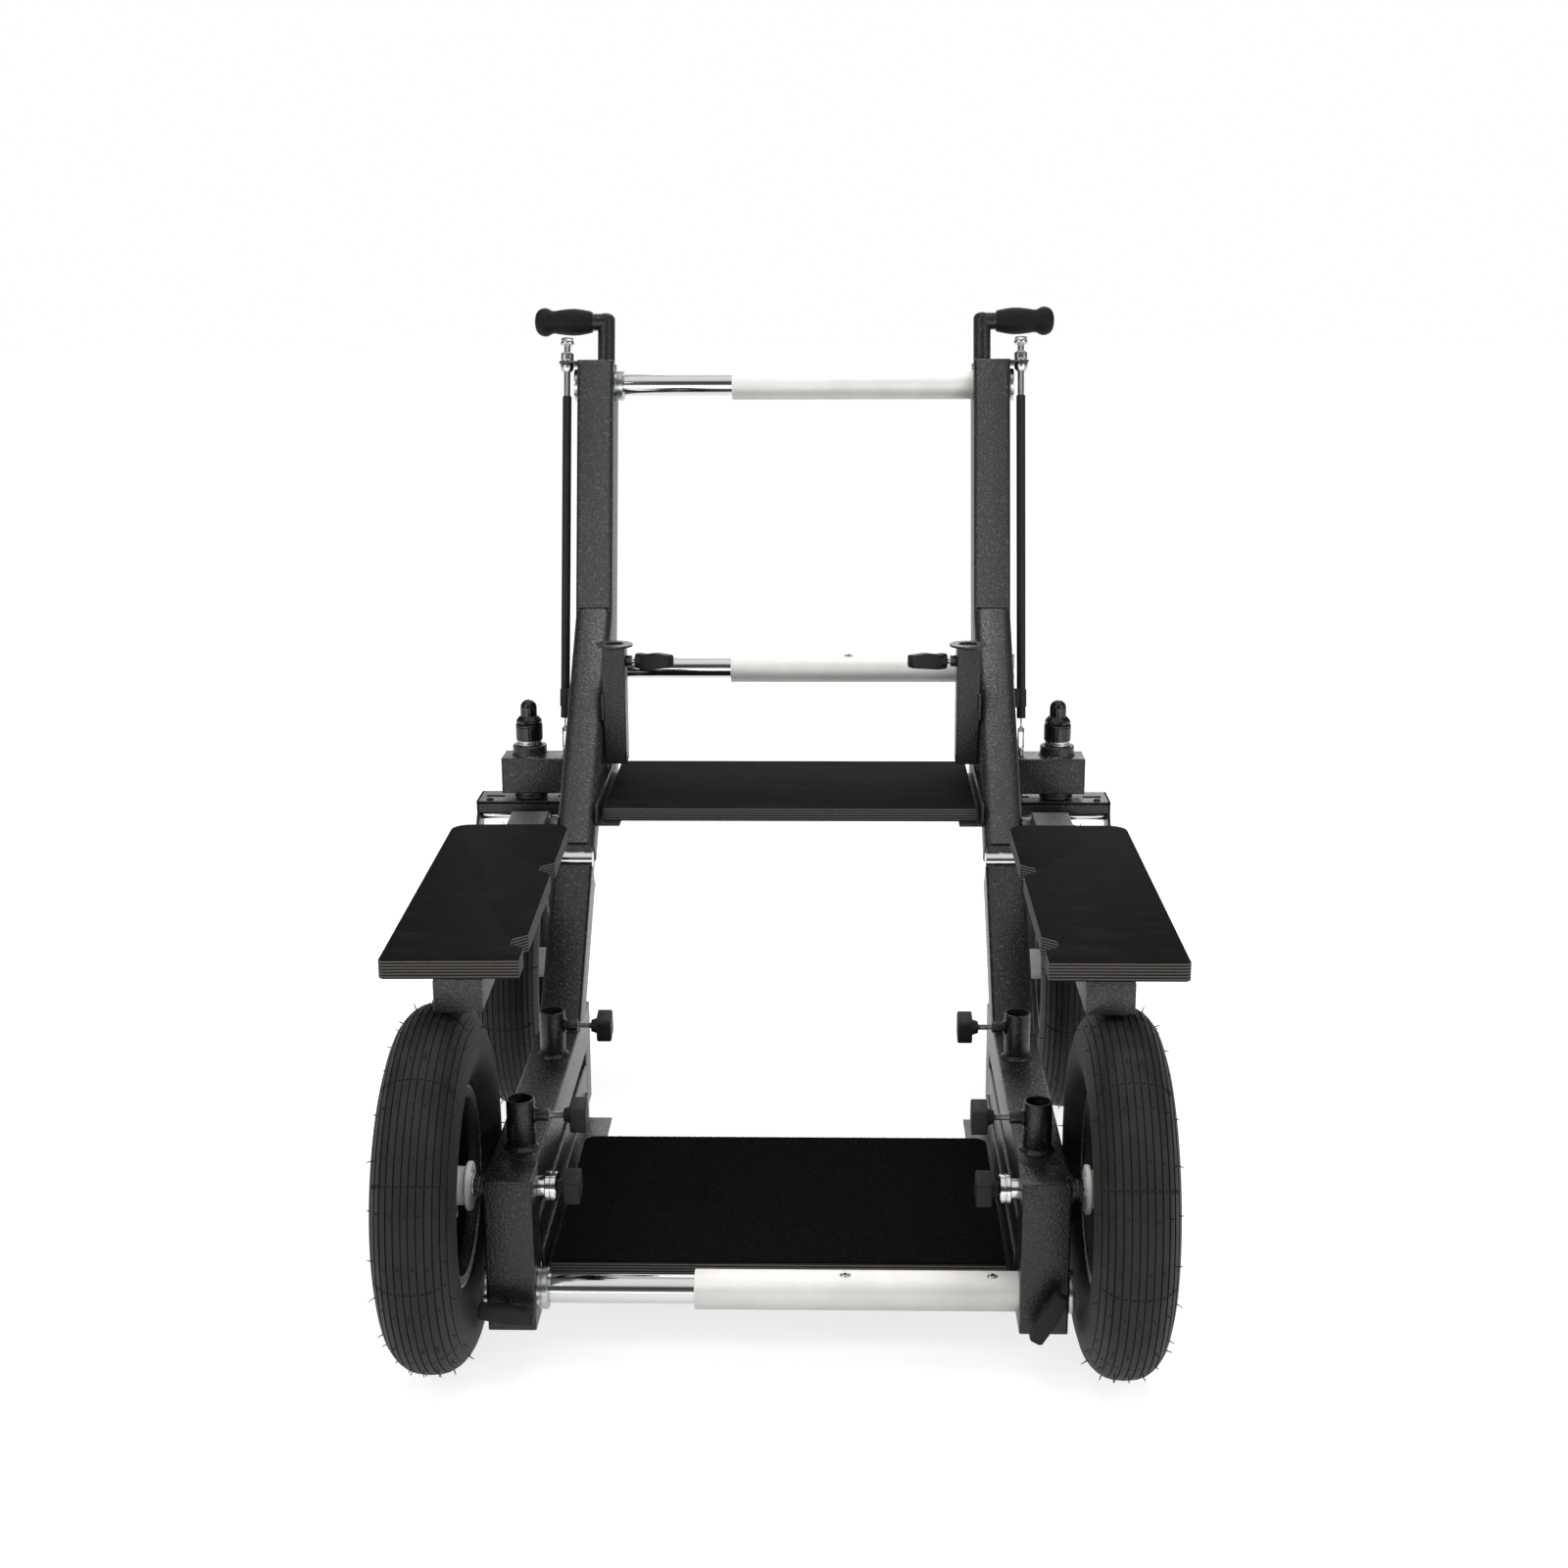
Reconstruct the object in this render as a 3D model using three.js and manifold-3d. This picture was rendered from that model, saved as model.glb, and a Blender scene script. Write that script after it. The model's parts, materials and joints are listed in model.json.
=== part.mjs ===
// Doorway dolly: two welded side frames on pneumatic wheels, held apart by three telescoping
// cross tubes. It carries a low platform, a seat board and two side boards, and it rolls on
// two fixed wheels in front and two swivel casters under the push handles.
// Millimetres, +Z up, +Y from the platform end towards the handles. Each side is drawn with
// its outward direction along +X, and the left side is its mirror image. While it is drawn,
// Y is measured from the front face of the front uprights; the last lines move the whole
// machine so that the origin is on the floor under its middle.

import * as THREE from 'three';
import { mergeVertices } from 'three/addons/utils/BufferGeometryUtils.js';
import Module from 'manifold-3d';

const wasm = await Module();
wasm.setup();

// Clearances
const seatGap = 0.3;
const turnGap = 0.5;
const weldBite = 0.5;
const overrun = 2;

// Side frame tube and width
const tubeSize = 50;
const tubeWall = 2.5;
const halfTrack = 274;

// Wheels
const tyreRadius = 190;
const tyreWidth = 84;
const tyreWall = 11;
const beadRadius = 96;
const rimWidth = 52;
const rimWall = 4;
const rimLip = 3;
const rimLipHeight = 8;
const rimWebThickness = 6;
const hubRadius = 25.5;
const hubFlange = 5;
const hubBarrelRadius = 20;
const hubReach = 34;
const rearWheelOutset = 66;

// Front half of a side frame
const uprightBottom = 48.5;
const frontFrameLength = 530;
const railGap = 15;
const rearFootHeight = 90;
const axleSetback = 44;

// Sloping leg
const legFootInset = 106;
const legFootY = frontFrameLength - legFootInset;
const legSlope = THREE.MathUtils.degToRad(41.45);
const legWeldReach = 5;
const legSpigotLength = 110;
const legSplitGap = 1;
const upperLegLead = 12;
const legPostReach = 12;
const legHollowStart = 3;

// Rear post
const postLean = THREE.MathUtils.degToRad(16.3);
const postDepth = 80;
const postTop = 978;
const kingpinBeyondFoot = 466;
const kingpinY = legFootY + kingpinBeyondFoot;

// Caster arm and its bearing housings
const wheelHeadroom = 6;
const lowerCollarHeight = 9.5;
const lowerCollarRadius = 23;
const upperCollarHeight = 15;
const upperCollarRadius = 23.5;
const casterArmOverhang = 37;

// Kingpin stack
const kingpinRadius = 12;
const thrustWasherRadius = 19;
const thrustWasherThickness = 3;
const bushRadius = 18.7;
const bushHeight = 26;
const kingNutWidth = 31;
const kingNutHeight = 11;
const acornRadius = 11.5;
const acornHeight = 22.5;

// Caster fork
const forkTrail = 140;
const crownDepth = 56;
const crownPlate = 4;
const forkInnerWidth = 138;
const crownFlange = 17;
const tieBarRadius = 5.5;
const tieBarDrop = 23;
const tieBarInset = 12;
const forkEarRadius = 24;
const crownSlotLength = 26;
const crownSlotWidth = 9.5;
const axleBoltRadius = 8;
const axleNutRadius = 13;
const axleNutHeight = 10;

// Lock that pins the caster straight
const lockOutset = 16;
const lockPinRadius = 4;
const lockPinClear = 1;
const clevisWidth = 9;
const clevisStand = 7;
const clevisHeight = 34;
const pullRodRadius = 4.5;
const pullSleeveRadius = 6.5;
const pullSleeveLow = 81;
const pullBracketStand = 0.4;
const pullSleeveShortfall = 47;
const pullBracketThickness = 3;
const pullBracketDepth = 26;
const pullBracketOverhang = 10;
const pullHeadWidth = 19;
const pullHeadHeight = 9;
const pullHeadStand = 25;
const pullRodSink = 4;
const pullWireRadius = 1.5;
const sleeveTabWidth = 14;
const sleeveTabHeight = 26;
const sleeveTabLow = 89;

// Cross tubes: place, outer sleeve, inner tube and collars
const sleeveRadius = 20.5;
const innerTubeRadius = 15;
const innerTubeWall = 2.5;
const sleeveMouthX = -86;
const tubeOverlap = 180;
const collarRadius = 21.5;
const collarLength = 11;
const endDiscRadius = 22.5;
const endDiscThickness = 6.5;
const frontTubeY = 25;
const frontTubeZ = 84;
const middleTubeZ = 561;
const upperTubeZ = 941;

// Platform and the angles that carry it
const angleThickness = 3;
const angleShelf = 31;
const angleHeight = 36;
const platformTop = 100;
const boardThickness = 18;
const platformHalfWidth = 239;
const platformFrontY = 57;
const platformRearInset = 152;
const platformLength = frontFrameLength - platformFrontY - platformRearInset;
const platformCorner = 14;
const angleFrontY = 52;
const angleRearInset = 54;
const angleLength = frontFrameLength - angleFrontY - angleRearInset;

// Seat board, its brackets and the square seat sockets
const seatTop = 430;
const seatHalfWidth = 240;
const seatFrontLead = 225;
const seatFrontY = kingpinY - seatFrontLead;
const seatDepth = 254;
const seatBracketHeight = 28;
const seatBracketLead = 238;
const seatBracketFrontY = kingpinY - seatBracketLead;
const seatBracketLength = 272;
const seatSocketWidth = 30;
const seatSocketDepth = 40;
const seatSocketWall = 2.5;
const seatSocketLead = 100;
const seatSocketY = kingpinY - seatSocketLead;
const seatSocketBottom = 462;
const seatSocketTop = 618;
const seatFlangeRadius = 24.5;
const seatFlangeThickness = 3;
const seatBoreRadius = 12.5;
const seatLeverDrop = 20;
const leverBossRadius = 7.5;
const leverBossLength = 8;
const leverStudRadius = 4;
const leverHubRadius = 8.5;
const leverHubLength = 14;
const leverHubGap = 4;
const leverArmLength = 55;
const leverArmHeight = 20;
const leverArmThickness = 12;
const leverArmTip = 8;
const leverArmLean = THREE.MathUtils.degToRad(38);

// Round sockets on the top rail and their clamp knobs
const socketOffset = 3;
const rearSocketLead = 74;
const socketPlaces = { front: 88, rear: legFootY - rearSocketLead };
const socketRadius = 15;
const socketBore = 12.7;
const socketHeight = 54;
const socketWeldRadius = 19;
const socketWeldHeight = 4;
const socketScrewHeight = 36;
const socketBossRadius = 6.5;
const socketBossLength = 15;
const screwRadius = 3.5;
const screwLength = 33;
const knobConeLength = 7;
const knobConeRadius = 7;
const knobSide = 29.5;
const knobCorner = 5;
const knobFoot = 2.2;
const knobThickness = 17;
const knobTurn = THREE.MathUtils.degToRad(12);

// Front axle
const axleRadius = 8;
const axleWasherRadius = 16.5;
const axleWasherThickness = 5;
const axleSpacerRadius = 11.5;
const axleSpacerLength = 13;
const axleCollarRadius = 15.5;
const axleCollarThickness = 12;
const axleNeckLength = 8;
const axleNeckRadius = 11;
const axleHeadRadius = 15;
const axleHeadThickness = 7;

// Clamp handles on the front uprights
const clampOffset = 3;
const clampZ = 76;
const clampStudRadius = 4.5;
const clampStudLength = 10;
const clampStudSink = 3.5;
const clampHandleLength = 58;
const clampHandleWidth = 19;
const clampHandleDepth = 13;
const clampTurns = { left: THREE.MathUtils.degToRad(8), right: THREE.MathUtils.degToRad(62) };

// Side boards, the square arms under them and the polished bars that hold them up
const sideArmOutset = 36;
const sideArmWidth = 50;
const sideArmHeight = 36;
const sideArmFrontY = 30;
const pivotBeyondFoot = 238;
const sideArmPivotY = legFootY + pivotBeyondFoot;
const sideArmTail = 13;
const sideArmRearY = sideArmPivotY + sideArmTail;
const sideArmPivotRadius = 8;
const sideArmSpacerRadius = 13;
const sideBoardOffset = 8;
const sideBoardWidth = 142;
const sideBoardThickness = 20;
const sideBoardFrontY = 28;
const sideBoardLength = 512;
const sideBoardCorner = 22;
const sideBoardEdgeCorner = 4;
const notchDepth = 15;
const notchWidth = 46;
const notchSlant = 14;
const supportBarRadius = 10;
const supportBarDepth = 5;
const supportBarOverhang = 7;
const sideArmSkews = { left: THREE.MathUtils.degToRad(1.25), right: 0 };

// Push handles and grips
const handleInset = 12;
const handleRadius = 12;
const handleRise = 62;
const handleSink = 5;
const handleBend = 13;
const gripLength = 81;
const gripRootGap = 7;
const gripTipLength = 14;
const gripRadius = 16;
const gripFlareRadius = 20;
const gripFlareLength = 13;
const gripCapThickness = 4;

// How many flats stand in for a full circle
const tyreFacets = 24;
const rimFacets = 16;
const roundFacets = 16;
const smallFacets = 10;
const elbowSteps = 5;

// Half of the tyre's cross-section, from bead to tread: shares of its height and of its half width
const tyreOutlineShares = [[0.3, 0.93], [0.56, 1], [0.8, 0.87], [0.94, 0.62], [1, 0.3]];
const tyreHollowShares = [[0.24, 0.66], [0.56, 0.78], [0.88, 0.5]];

// Places worked out from the sizes above
const inner = halfTrack - tubeSize / 2;
const outer = halfTrack + tubeSize / 2;
const hubInnerEnd = outer + axleWasherThickness + axleSpacerLength;
const frontWheelX = hubInnerEnd + hubReach;
const rearWheelX = outer + rearWheelOutset;
const casterArmEnd = rearWheelX + casterArmOverhang;
const lockX = outer + lockOutset;
const sideArmX = outer + sideArmOutset;
const socketX = halfTrack - socketOffset;
const clampX = halfTrack + clampOffset;
const handleX = halfTrack - handleInset;
const gripStart = handleX + handleBend + gripRootGap;
const gripEnd = gripStart + gripLength;
const handleReach = gripEnd - gripTipLength;
const topRailTop = tyreRadius + tubeSize / 2;
const topRailBottom = topRailTop - tubeSize;
const lowerRailTop = topRailBottom - railGap;
const lowerRailBottom = lowerRailTop - tubeSize;
const crownTop = 2 * tyreRadius + wheelHeadroom;
const casterArmBottom = crownTop + turnGap + lowerCollarHeight;
const casterArmTop = casterArmBottom + tubeSize;
const casterArmMiddle = (casterArmBottom + casterArmTop) / 2;
const sideArmBottom = 2 * tyreRadius + wheelHeadroom;
const sideArmTop = sideArmBottom + sideArmHeight;
const supportBarZ = sideArmBottom - seatGap - supportBarRadius;
const supportBarRise = supportBarZ - topRailTop + supportBarDepth * Math.cos(legSlope);
const supportBarAlong = supportBarRise / Math.sin(legSlope);
const supportBarY = alongLeg(supportBarAlong, supportBarDepth)[0];
const forkAxleY = kingpinY - forkTrail;
const tubeMiddle = tubeSize / 2;
const sideArmMiddle = (sideArmBottom + sideArmTop) / 2;
const clevisTop = casterArmTop + clevisStand + clevisHeight;
const pullRodSide = -(clevisTop - casterArmMiddle) * Math.sin(postLean);
const forkHalfWidth = forkInnerWidth / 2 + crownPlate;
const postCapBackY = postFrontY(postTop) + postDepth * Math.cos(postLean);
const machineMiddleY = (axleSetback - tyreRadius + postCapBackY) / 2;
const pullBracketHeight = postTopAlong() + pullBracketStand;
const pullSleeveHigh = pullBracketHeight - pullSleeveShortfall;

// A point of the leg in the YZ plane: along the slope from its foot, and inward from its upper face.
function alongLeg(along, depth) {
  const y = legFootY + along * Math.cos(legSlope) + depth * Math.sin(legSlope);
  const z = topRailTop + along * Math.sin(legSlope) - depth * Math.cos(legSlope);
  return [y, z];
}

// The front face of the post at a height.
function postFrontY(z) {
  return kingpinY + (z - casterArmMiddle) * Math.tan(postLean) - postDepth / (2 * Math.cos(postLean));
}

// The post's middle line at a height.
function postMiddleY(z) {
  return kingpinY + (z - casterArmMiddle) * Math.tan(postLean);
}

// Materials
function coat(color, roughness, metalness) {
  return new THREE.MeshStandardMaterial({ color, roughness, metalness });
}

const blackPowderCoat = () => coat(0x1b1c1d, 0.55, 0.2);
const polishedSteel = () => coat(0xd6d8da, 0.12, 1);
const satinAluminium = () => coat(0xe2e3e4, 0.38, 1);
const zincPlate = () => coat(0xc4c6c8, 0.3, 1);
const blackPlastic = () => coat(0x222324, 0.5, 0);
const blackRubber = () => coat(0x1d1e1f, 0.8, 0);
const facedPlywood = () => coat(0x141414, 0.5, 0);

// Solids: a closed geometry becomes a body that can be joined and cut.
function toBody(geometry) {
  const bare = geometry.clone();
  for (const name of Object.keys(bare.attributes)) {
    if (name !== 'position') bare.deleteAttribute(name);
  }
  const merged = mergeVertices(bare);
  return new wasm.Manifold(new wasm.Mesh({
    numProp: 3,
    vertProperties: new Float32Array(merged.attributes.position.array),
    triVerts: new Uint32Array(merged.index.array),
  }));
}

function toGeometry(body) {
  const mesh = body.getMesh();
  const geometry = new THREE.BufferGeometry();
  geometry.setAttribute('position', new THREE.BufferAttribute(new Float32Array(mesh.vertProperties), 3));
  geometry.setIndex(new THREE.BufferAttribute(new Uint32Array(mesh.triVerts), 1));
  return geometry;
}

function joined(geometries) {
  return geometries.map(toBody).reduce((all, next) => all.add(next));
}

function shaped(adds, cuts = []) {
  let body = joined(adds);
  if (cuts.length > 0) body = body.subtract(joined(cuts));
  return toGeometry(body);
}

// Basic shapes
function box(x0, x1, y0, y1, z0, z1) {
  const geometry = new THREE.BoxGeometry(x1 - x0, y1 - y0, z1 - z0);
  return geometry.translate((x0 + x1) / 2, (y0 + y1) / 2, (z0 + z1) / 2);
}

function outline(points) {
  return new THREE.Shape(points.map(([a, b]) => new THREE.Vector2(a, b)));
}

// A shape drawn in the YZ plane, with thickness along X.
function sideSlab(shape, x0, x1) {
  const depth = x1 - x0;
  const geometry = new THREE.ExtrudeGeometry(shape, { depth, bevelEnabled: false, curveSegments: 8 });
  geometry.applyMatrix4(new THREE.Matrix4().set(0, 0, 1, 0, 1, 0, 0, 0, 0, 1, 0, 0, 0, 0, 0, 1));
  return geometry.translate(x0, 0, 0);
}

// A shape drawn in the XY plane, with thickness along Z.
function flatSlab(shape, z0, z1) {
  const depth = z1 - z0;
  const geometry = new THREE.ExtrudeGeometry(shape, { depth, bevelEnabled: false, curveSegments: 5 });
  return geometry.translate(0, 0, z0);
}

function rodX(radius, x0, x1, y, z, facets = roundFacets) {
  const geometry = new THREE.CylinderGeometry(radius, radius, x1 - x0, facets);
  return geometry.rotateZ(Math.PI / 2).translate((x0 + x1) / 2, y, z);
}

function rodY(radius, y0, y1, x, z, facets = roundFacets) {
  const geometry = new THREE.CylinderGeometry(radius, radius, y1 - y0, facets);
  return geometry.translate(x, (y0 + y1) / 2, z);
}

function rodZ(radius, z0, z1, x, y, facets = roundFacets) {
  const geometry = new THREE.CylinderGeometry(radius, radius, z1 - z0, facets);
  return geometry.rotateX(Math.PI / 2).translate(x, y, (z0 + z1) / 2);
}

// A profile of [radius, place] pairs turned round the X axis through (y, z).
function turnedX(profile, y, z, facets = roundFacets, phase = 0) {
  const points = profile.map(([radius, along]) => new THREE.Vector2(radius, along));
  const geometry = new THREE.LatheGeometry(points, facets, phase, 2 * Math.PI);
  return geometry.rotateZ(-Math.PI / 2).translate(0, y, z);
}

// The same round the Z axis through (x, y).
function turnedZ(profile, x, y, facets = roundFacets) {
  const points = profile.map(([radius, along]) => new THREE.Vector2(radius, along));
  const geometry = new THREE.LatheGeometry(points, facets, 0, 2 * Math.PI);
  return geometry.rotateX(Math.PI / 2).translate(x, y, 0);
}

// A hexagon across its flats, standing on Z.
function hexZ(width, z0, z1, x, y) {
  return rodZ(width / Math.sqrt(3), z0, z1, x, y, 6);
}

// Turns a piece drawn upright beside the post, from its middle at the caster arm, to the post's lean.
function leaned(geometry) {
  return geometry.rotateX(-postLean).translate(0, kingpinY, casterArmMiddle);
}

// A piece of tube between four corners of its side view, and the hollow inside it.
function tubeSection(corners, x0 = inner, x1 = outer) {
  return sideSlab(outline(corners), x0, x1);
}

// Front half of a side frame: front upright, top rail, lower rail, rear upright, lower leg with the
// spigot that carries the upper leg, and the angle under the platform.
function frontFrame() {
  const legEnd = supportBarAlong - supportBarRadius - legSplitGap;
  const spigotFoot = legEnd - legSpigotLength / 2;
  const spigotTop = legEnd + legSpigotLength;
  const spigotInset = tubeWall + seatGap;
  const spigotDepth = tubeSize - spigotInset;
  const adds = [
    box(inner, outer, 0, tubeSize, uprightBottom, topRailTop),
    box(inner, outer, 0, frontFrameLength, topRailBottom, topRailTop),
    box(inner, outer, tubeSize - weldBite, frontFrameLength - weldBite, lowerRailBottom, lowerRailTop),
    box(inner, outer, frontFrameLength - tubeSize, frontFrameLength, rearFootHeight, topRailTop),
    tubeSection([
      alongLeg(-legWeldReach, 0), alongLeg(-legWeldReach, tubeSize),
      alongLeg(legEnd, tubeSize), alongLeg(legEnd, 0),
    ]),
    tubeSection([
      alongLeg(spigotFoot, spigotInset), alongLeg(spigotFoot, spigotDepth),
      alongLeg(spigotTop, spigotDepth), alongLeg(spigotTop, spigotInset),
    ], inner + spigotInset, outer - spigotInset),
    box(inner - angleThickness, inner + weldBite, angleFrontY, angleFrontY + angleLength,
      platformTop - boardThickness - seatGap - angleThickness,
      platformTop - boardThickness - seatGap - angleThickness + angleHeight),
    box(inner - angleShelf, inner, angleFrontY, angleFrontY + angleLength,
      platformTop - boardThickness - seatGap - angleThickness, platformTop - boardThickness - seatGap),
  ];
  const w = tubeWall;
  const cuts = [
    box(inner + w, outer - w, w, tubeSize - w, uprightBottom - overrun, topRailTop - w),
    box(inner + w, outer - w, w, frontFrameLength - w, topRailBottom + w, topRailTop - w),
    box(inner + w, outer - w, w, frontFrameLength - w, lowerRailBottom + w, lowerRailTop - w),
    box(inner + w, outer - w, frontFrameLength - tubeSize + w, frontFrameLength - w,
      rearFootHeight - overrun, topRailTop - w),
    rodX(axleRadius + turnGap, inner - overrun, outer + overrun, axleSetback, tyreRadius),
    rodX(supportBarRadius + turnGap, inner - overrun, outer + overrun, supportBarY, supportBarZ),
    rodY(clampStudRadius + turnGap, -overrun, tubeWall + overrun, clampX, clampZ, smallFacets),
    tubeSection([
      alongLeg(legHollowStart, w), alongLeg(legHollowStart, tubeSize - w),
      alongLeg(spigotFoot, tubeSize - w), alongLeg(spigotFoot, w),
    ], inner + w, outer - w),
  ];
  return { adds, cuts };
}

// The front cross tube's hole is the sleeve's on one side and the inner tube's on the other.
function tubeHole(side, y, z) {
  const radius = side === 'right' ? sleeveRadius : innerTubeRadius;
  return rodX(radius + turnGap, inner - overrun, outer + overrun, y, z);
}

function frontFrameFor(side) {
  const { adds, cuts } = frontFrame();
  return shaped(adds, [...cuts, tubeHole(side, frontTubeY, frontTubeZ)]);
}

// Rear half of a side frame: leaning post, upper leg, caster arm with its two bearing housings, the
// angle under the seat board, the stub that the side arm turns on and the lock's bracket.
function rearFrameFor(side) {
  const w = tubeWall;
  const legStart = supportBarAlong + supportBarRadius + upperLegLead;
  const tan = Math.tan(postLean);
  const meet = (postFrontY(topRailTop) - legFootY) / (Math.cos(legSlope) - Math.sin(legSlope) * tan);
  const legTop = meet + legPostReach;
  const thickness = postDepth / Math.cos(postLean);
  const capDrop = postDepth * Math.sin(postLean);
  const wallRun = w / Math.cos(postLean);
  const postOutline = [
    [postFrontY(casterArmBottom), casterArmBottom],
    [postFrontY(casterArmBottom) + thickness, casterArmBottom],
    [postCapBackY, postTop - capDrop],
    [postFrontY(postTop), postTop],
  ];
  const postHollow = [
    [postFrontY(casterArmBottom - overrun) + wallRun, casterArmBottom - overrun],
    [postFrontY(casterArmBottom - overrun) + thickness - wallRun, casterArmBottom - overrun],
    [postFrontY(postTop - capDrop - w) + thickness - wallRun, postTop - capDrop - w],
    [postFrontY(postTop - w) + wallRun, postTop - w - wallRun],
  ];
  const seatShelf = seatTop - boardThickness - seatGap;
  const bracket = box(outer - weldBite, lockX + pullBracketOverhang,
    pullRodSide - pullBracketDepth / 2, pullRodSide + pullBracketDepth / 2,
    pullBracketHeight - pullBracketThickness, pullBracketHeight);
  const adds = [
    tubeSection(postOutline),
    tubeSection([
      alongLeg(legStart, 0), alongLeg(legStart, tubeSize), alongLeg(legTop, tubeSize), alongLeg(legTop, 0),
    ]),
    box(outer - weldBite, casterArmEnd, kingpinY - tubeMiddle, kingpinY + tubeMiddle,
      casterArmBottom, casterArmTop),
    rodZ(lowerCollarRadius, casterArmBottom - lowerCollarHeight, casterArmBottom + weldBite,
      rearWheelX, kingpinY),
    rodZ(upperCollarRadius, casterArmTop - weldBite, casterArmTop + upperCollarHeight,
      rearWheelX, kingpinY),
    box(inner - angleThickness, inner + weldBite, seatBracketFrontY, seatBracketFrontY + seatBracketLength,
      seatShelf - angleThickness, seatShelf - angleThickness + seatBracketHeight),
    box(inner - angleShelf, inner, seatBracketFrontY, seatBracketFrontY + seatBracketLength,
      seatShelf - angleThickness, seatShelf),
    rodX(sideArmPivotRadius, outer - weldBite, sideArmX + sideArmWidth / 2 + turnGap,
      sideArmPivotY, sideArmMiddle, smallFacets),
    rodX(sideArmSpacerRadius, outer - weldBite, sideArmX - sideArmWidth / 2 - turnGap,
      sideArmPivotY, sideArmMiddle),
    leaned(bracket),
  ];
  const hollow = (depth) => [
    alongLeg(legStart - overrun, w), alongLeg(legStart - overrun, depth),
    alongLeg(legTop, depth), alongLeg(legTop, w),
  ];
  const crownHole = rodZ(kingpinRadius + turnGap, casterArmBottom - lowerCollarHeight - overrun,
    casterArmTop + upperCollarHeight + overrun, rearWheelX, kingpinY);
  const cuts = [
    tubeSection(postHollow, inner + w, outer - w),
    tubeSection(hollow(tubeSize - w), inner + w, outer - w),
    box(outer - w - overrun, casterArmEnd - w, kingpinY - tubeMiddle + w, kingpinY + tubeMiddle - w,
      casterArmBottom + w, casterArmTop - w),
    crownHole,
    rodZ(lockPinRadius + turnGap, casterArmBottom - overrun, casterArmTop + overrun,
      lockX, kingpinY, smallFacets),
    leaned(rodZ(pullRodRadius + turnGap, pullBracketHeight - pullBracketThickness - overrun,
      pullBracketHeight + overrun, lockX, pullRodSide, smallFacets)),
    leaned(rodZ(handleRadius + turnGap, postTopAlong() - handleSink - seatGap, postTopAlong() + handleRise,
      handleX, 0)),
    tubeHole(side, postMiddleY(middleTubeZ), middleTubeZ),
    tubeHole(side, postMiddleY(upperTubeZ), upperTubeZ),
  ];
  return shaped(adds, cuts);
}

// The post's top, measured along its middle line from the caster arm.
function postTopAlong() {
  const back = postFrontY(postTop) - kingpinY;
  const up = postTop - casterArmMiddle;
  return back * Math.sin(postLean) + up * Math.cos(postLean);
}

// Square socket for a seat post, with a round flange on top and a boss for its clamp lever.
function seatSocket() {
  const x0 = inner - seatGap - seatSocketWidth;
  const x1 = inner - seatGap;
  const middle = (x0 + x1) / 2;
  const leverZ = seatSocketTop - seatLeverDrop;
  const y0 = seatSocketY - seatSocketDepth / 2;
  const y1 = seatSocketY + seatSocketDepth / 2;
  const w = seatSocketWall;
  return shaped([
    box(x0, x1, y0, y1, seatSocketBottom, seatSocketTop),
    rodZ(seatFlangeRadius, seatSocketTop - weldBite, seatSocketTop + seatFlangeThickness,
      middle, seatSocketY),
    rodX(leverBossRadius, x0 - leverBossLength, x0 + weldBite, seatSocketY, leverZ, smallFacets),
  ], [
    box(x0 + w, x1 - w, y0 + w, y1 - w, seatSocketBottom - overrun, seatSocketTop - w),
    rodZ(seatBoreRadius, seatSocketTop - w - overrun, seatSocketTop + seatFlangeThickness + overrun,
      middle, seatSocketY),
    rodX(leverStudRadius + turnGap, x0 - leverBossLength - overrun, x0 + w + overrun,
      seatSocketY, leverZ, smallFacets),
  ]);
}

// Clamp lever of the seat socket: a stud, a hub and an arm that leans inward and forward.
function seatLever() {
  const face = inner - seatGap - seatSocketWidth;
  const z = seatSocketTop - seatLeverDrop;
  const hubEnd = face - leverBossLength - leverHubGap;
  const half = leverArmHeight / 2;
  const arm = outline([
    [0, -half], [leverArmLength, -half + leverArmTip], [leverArmLength, half + leverArmTip / 2],
    [leverArmLength / 2, half + leverArmTip / 2], [0, half],
  ]);
  const blade = new THREE.ExtrudeGeometry(arm, { depth: leverArmThickness, bevelEnabled: false });
  blade.translate(0, 0, -leverArmThickness / 2).rotateX(Math.PI / 2).rotateZ(Math.PI + leverArmLean);
  blade.translate(hubEnd - leverHubLength / 2, seatSocketY, z);
  return shaped([
    blade,
    rodX(leverHubRadius, hubEnd - leverHubLength, hubEnd, seatSocketY, z, smallFacets),
    rodX(leverStudRadius, hubEnd - weldBite, face + seatSocketWall, seatSocketY, z, smallFacets),
  ]);
}

// Round socket welded to the top rail, with a boss for its clamp screw.
function roundSocket(y) {
  const base = topRailTop + seatGap;
  const top = base + socketHeight;
  const screwZ = topRailTop + socketScrewHeight;
  const bossEnd = socketX - socketRadius - socketBossLength;
  const tube = turnedZ([
    [socketBore, base], [socketWeldRadius, base], [socketRadius, base + socketWeldHeight],
    [socketRadius, top], [socketBore, top], [socketBore, base],
  ], socketX, y);
  const boss = rodX(socketBossRadius, bossEnd, socketX - socketBore - weldBite, y, screwZ, smallFacets);
  const hole = rodX(screwRadius + turnGap, bossEnd - overrun, socketX, y, screwZ, smallFacets);
  return shaped([tube, boss], [hole]);
}

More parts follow.
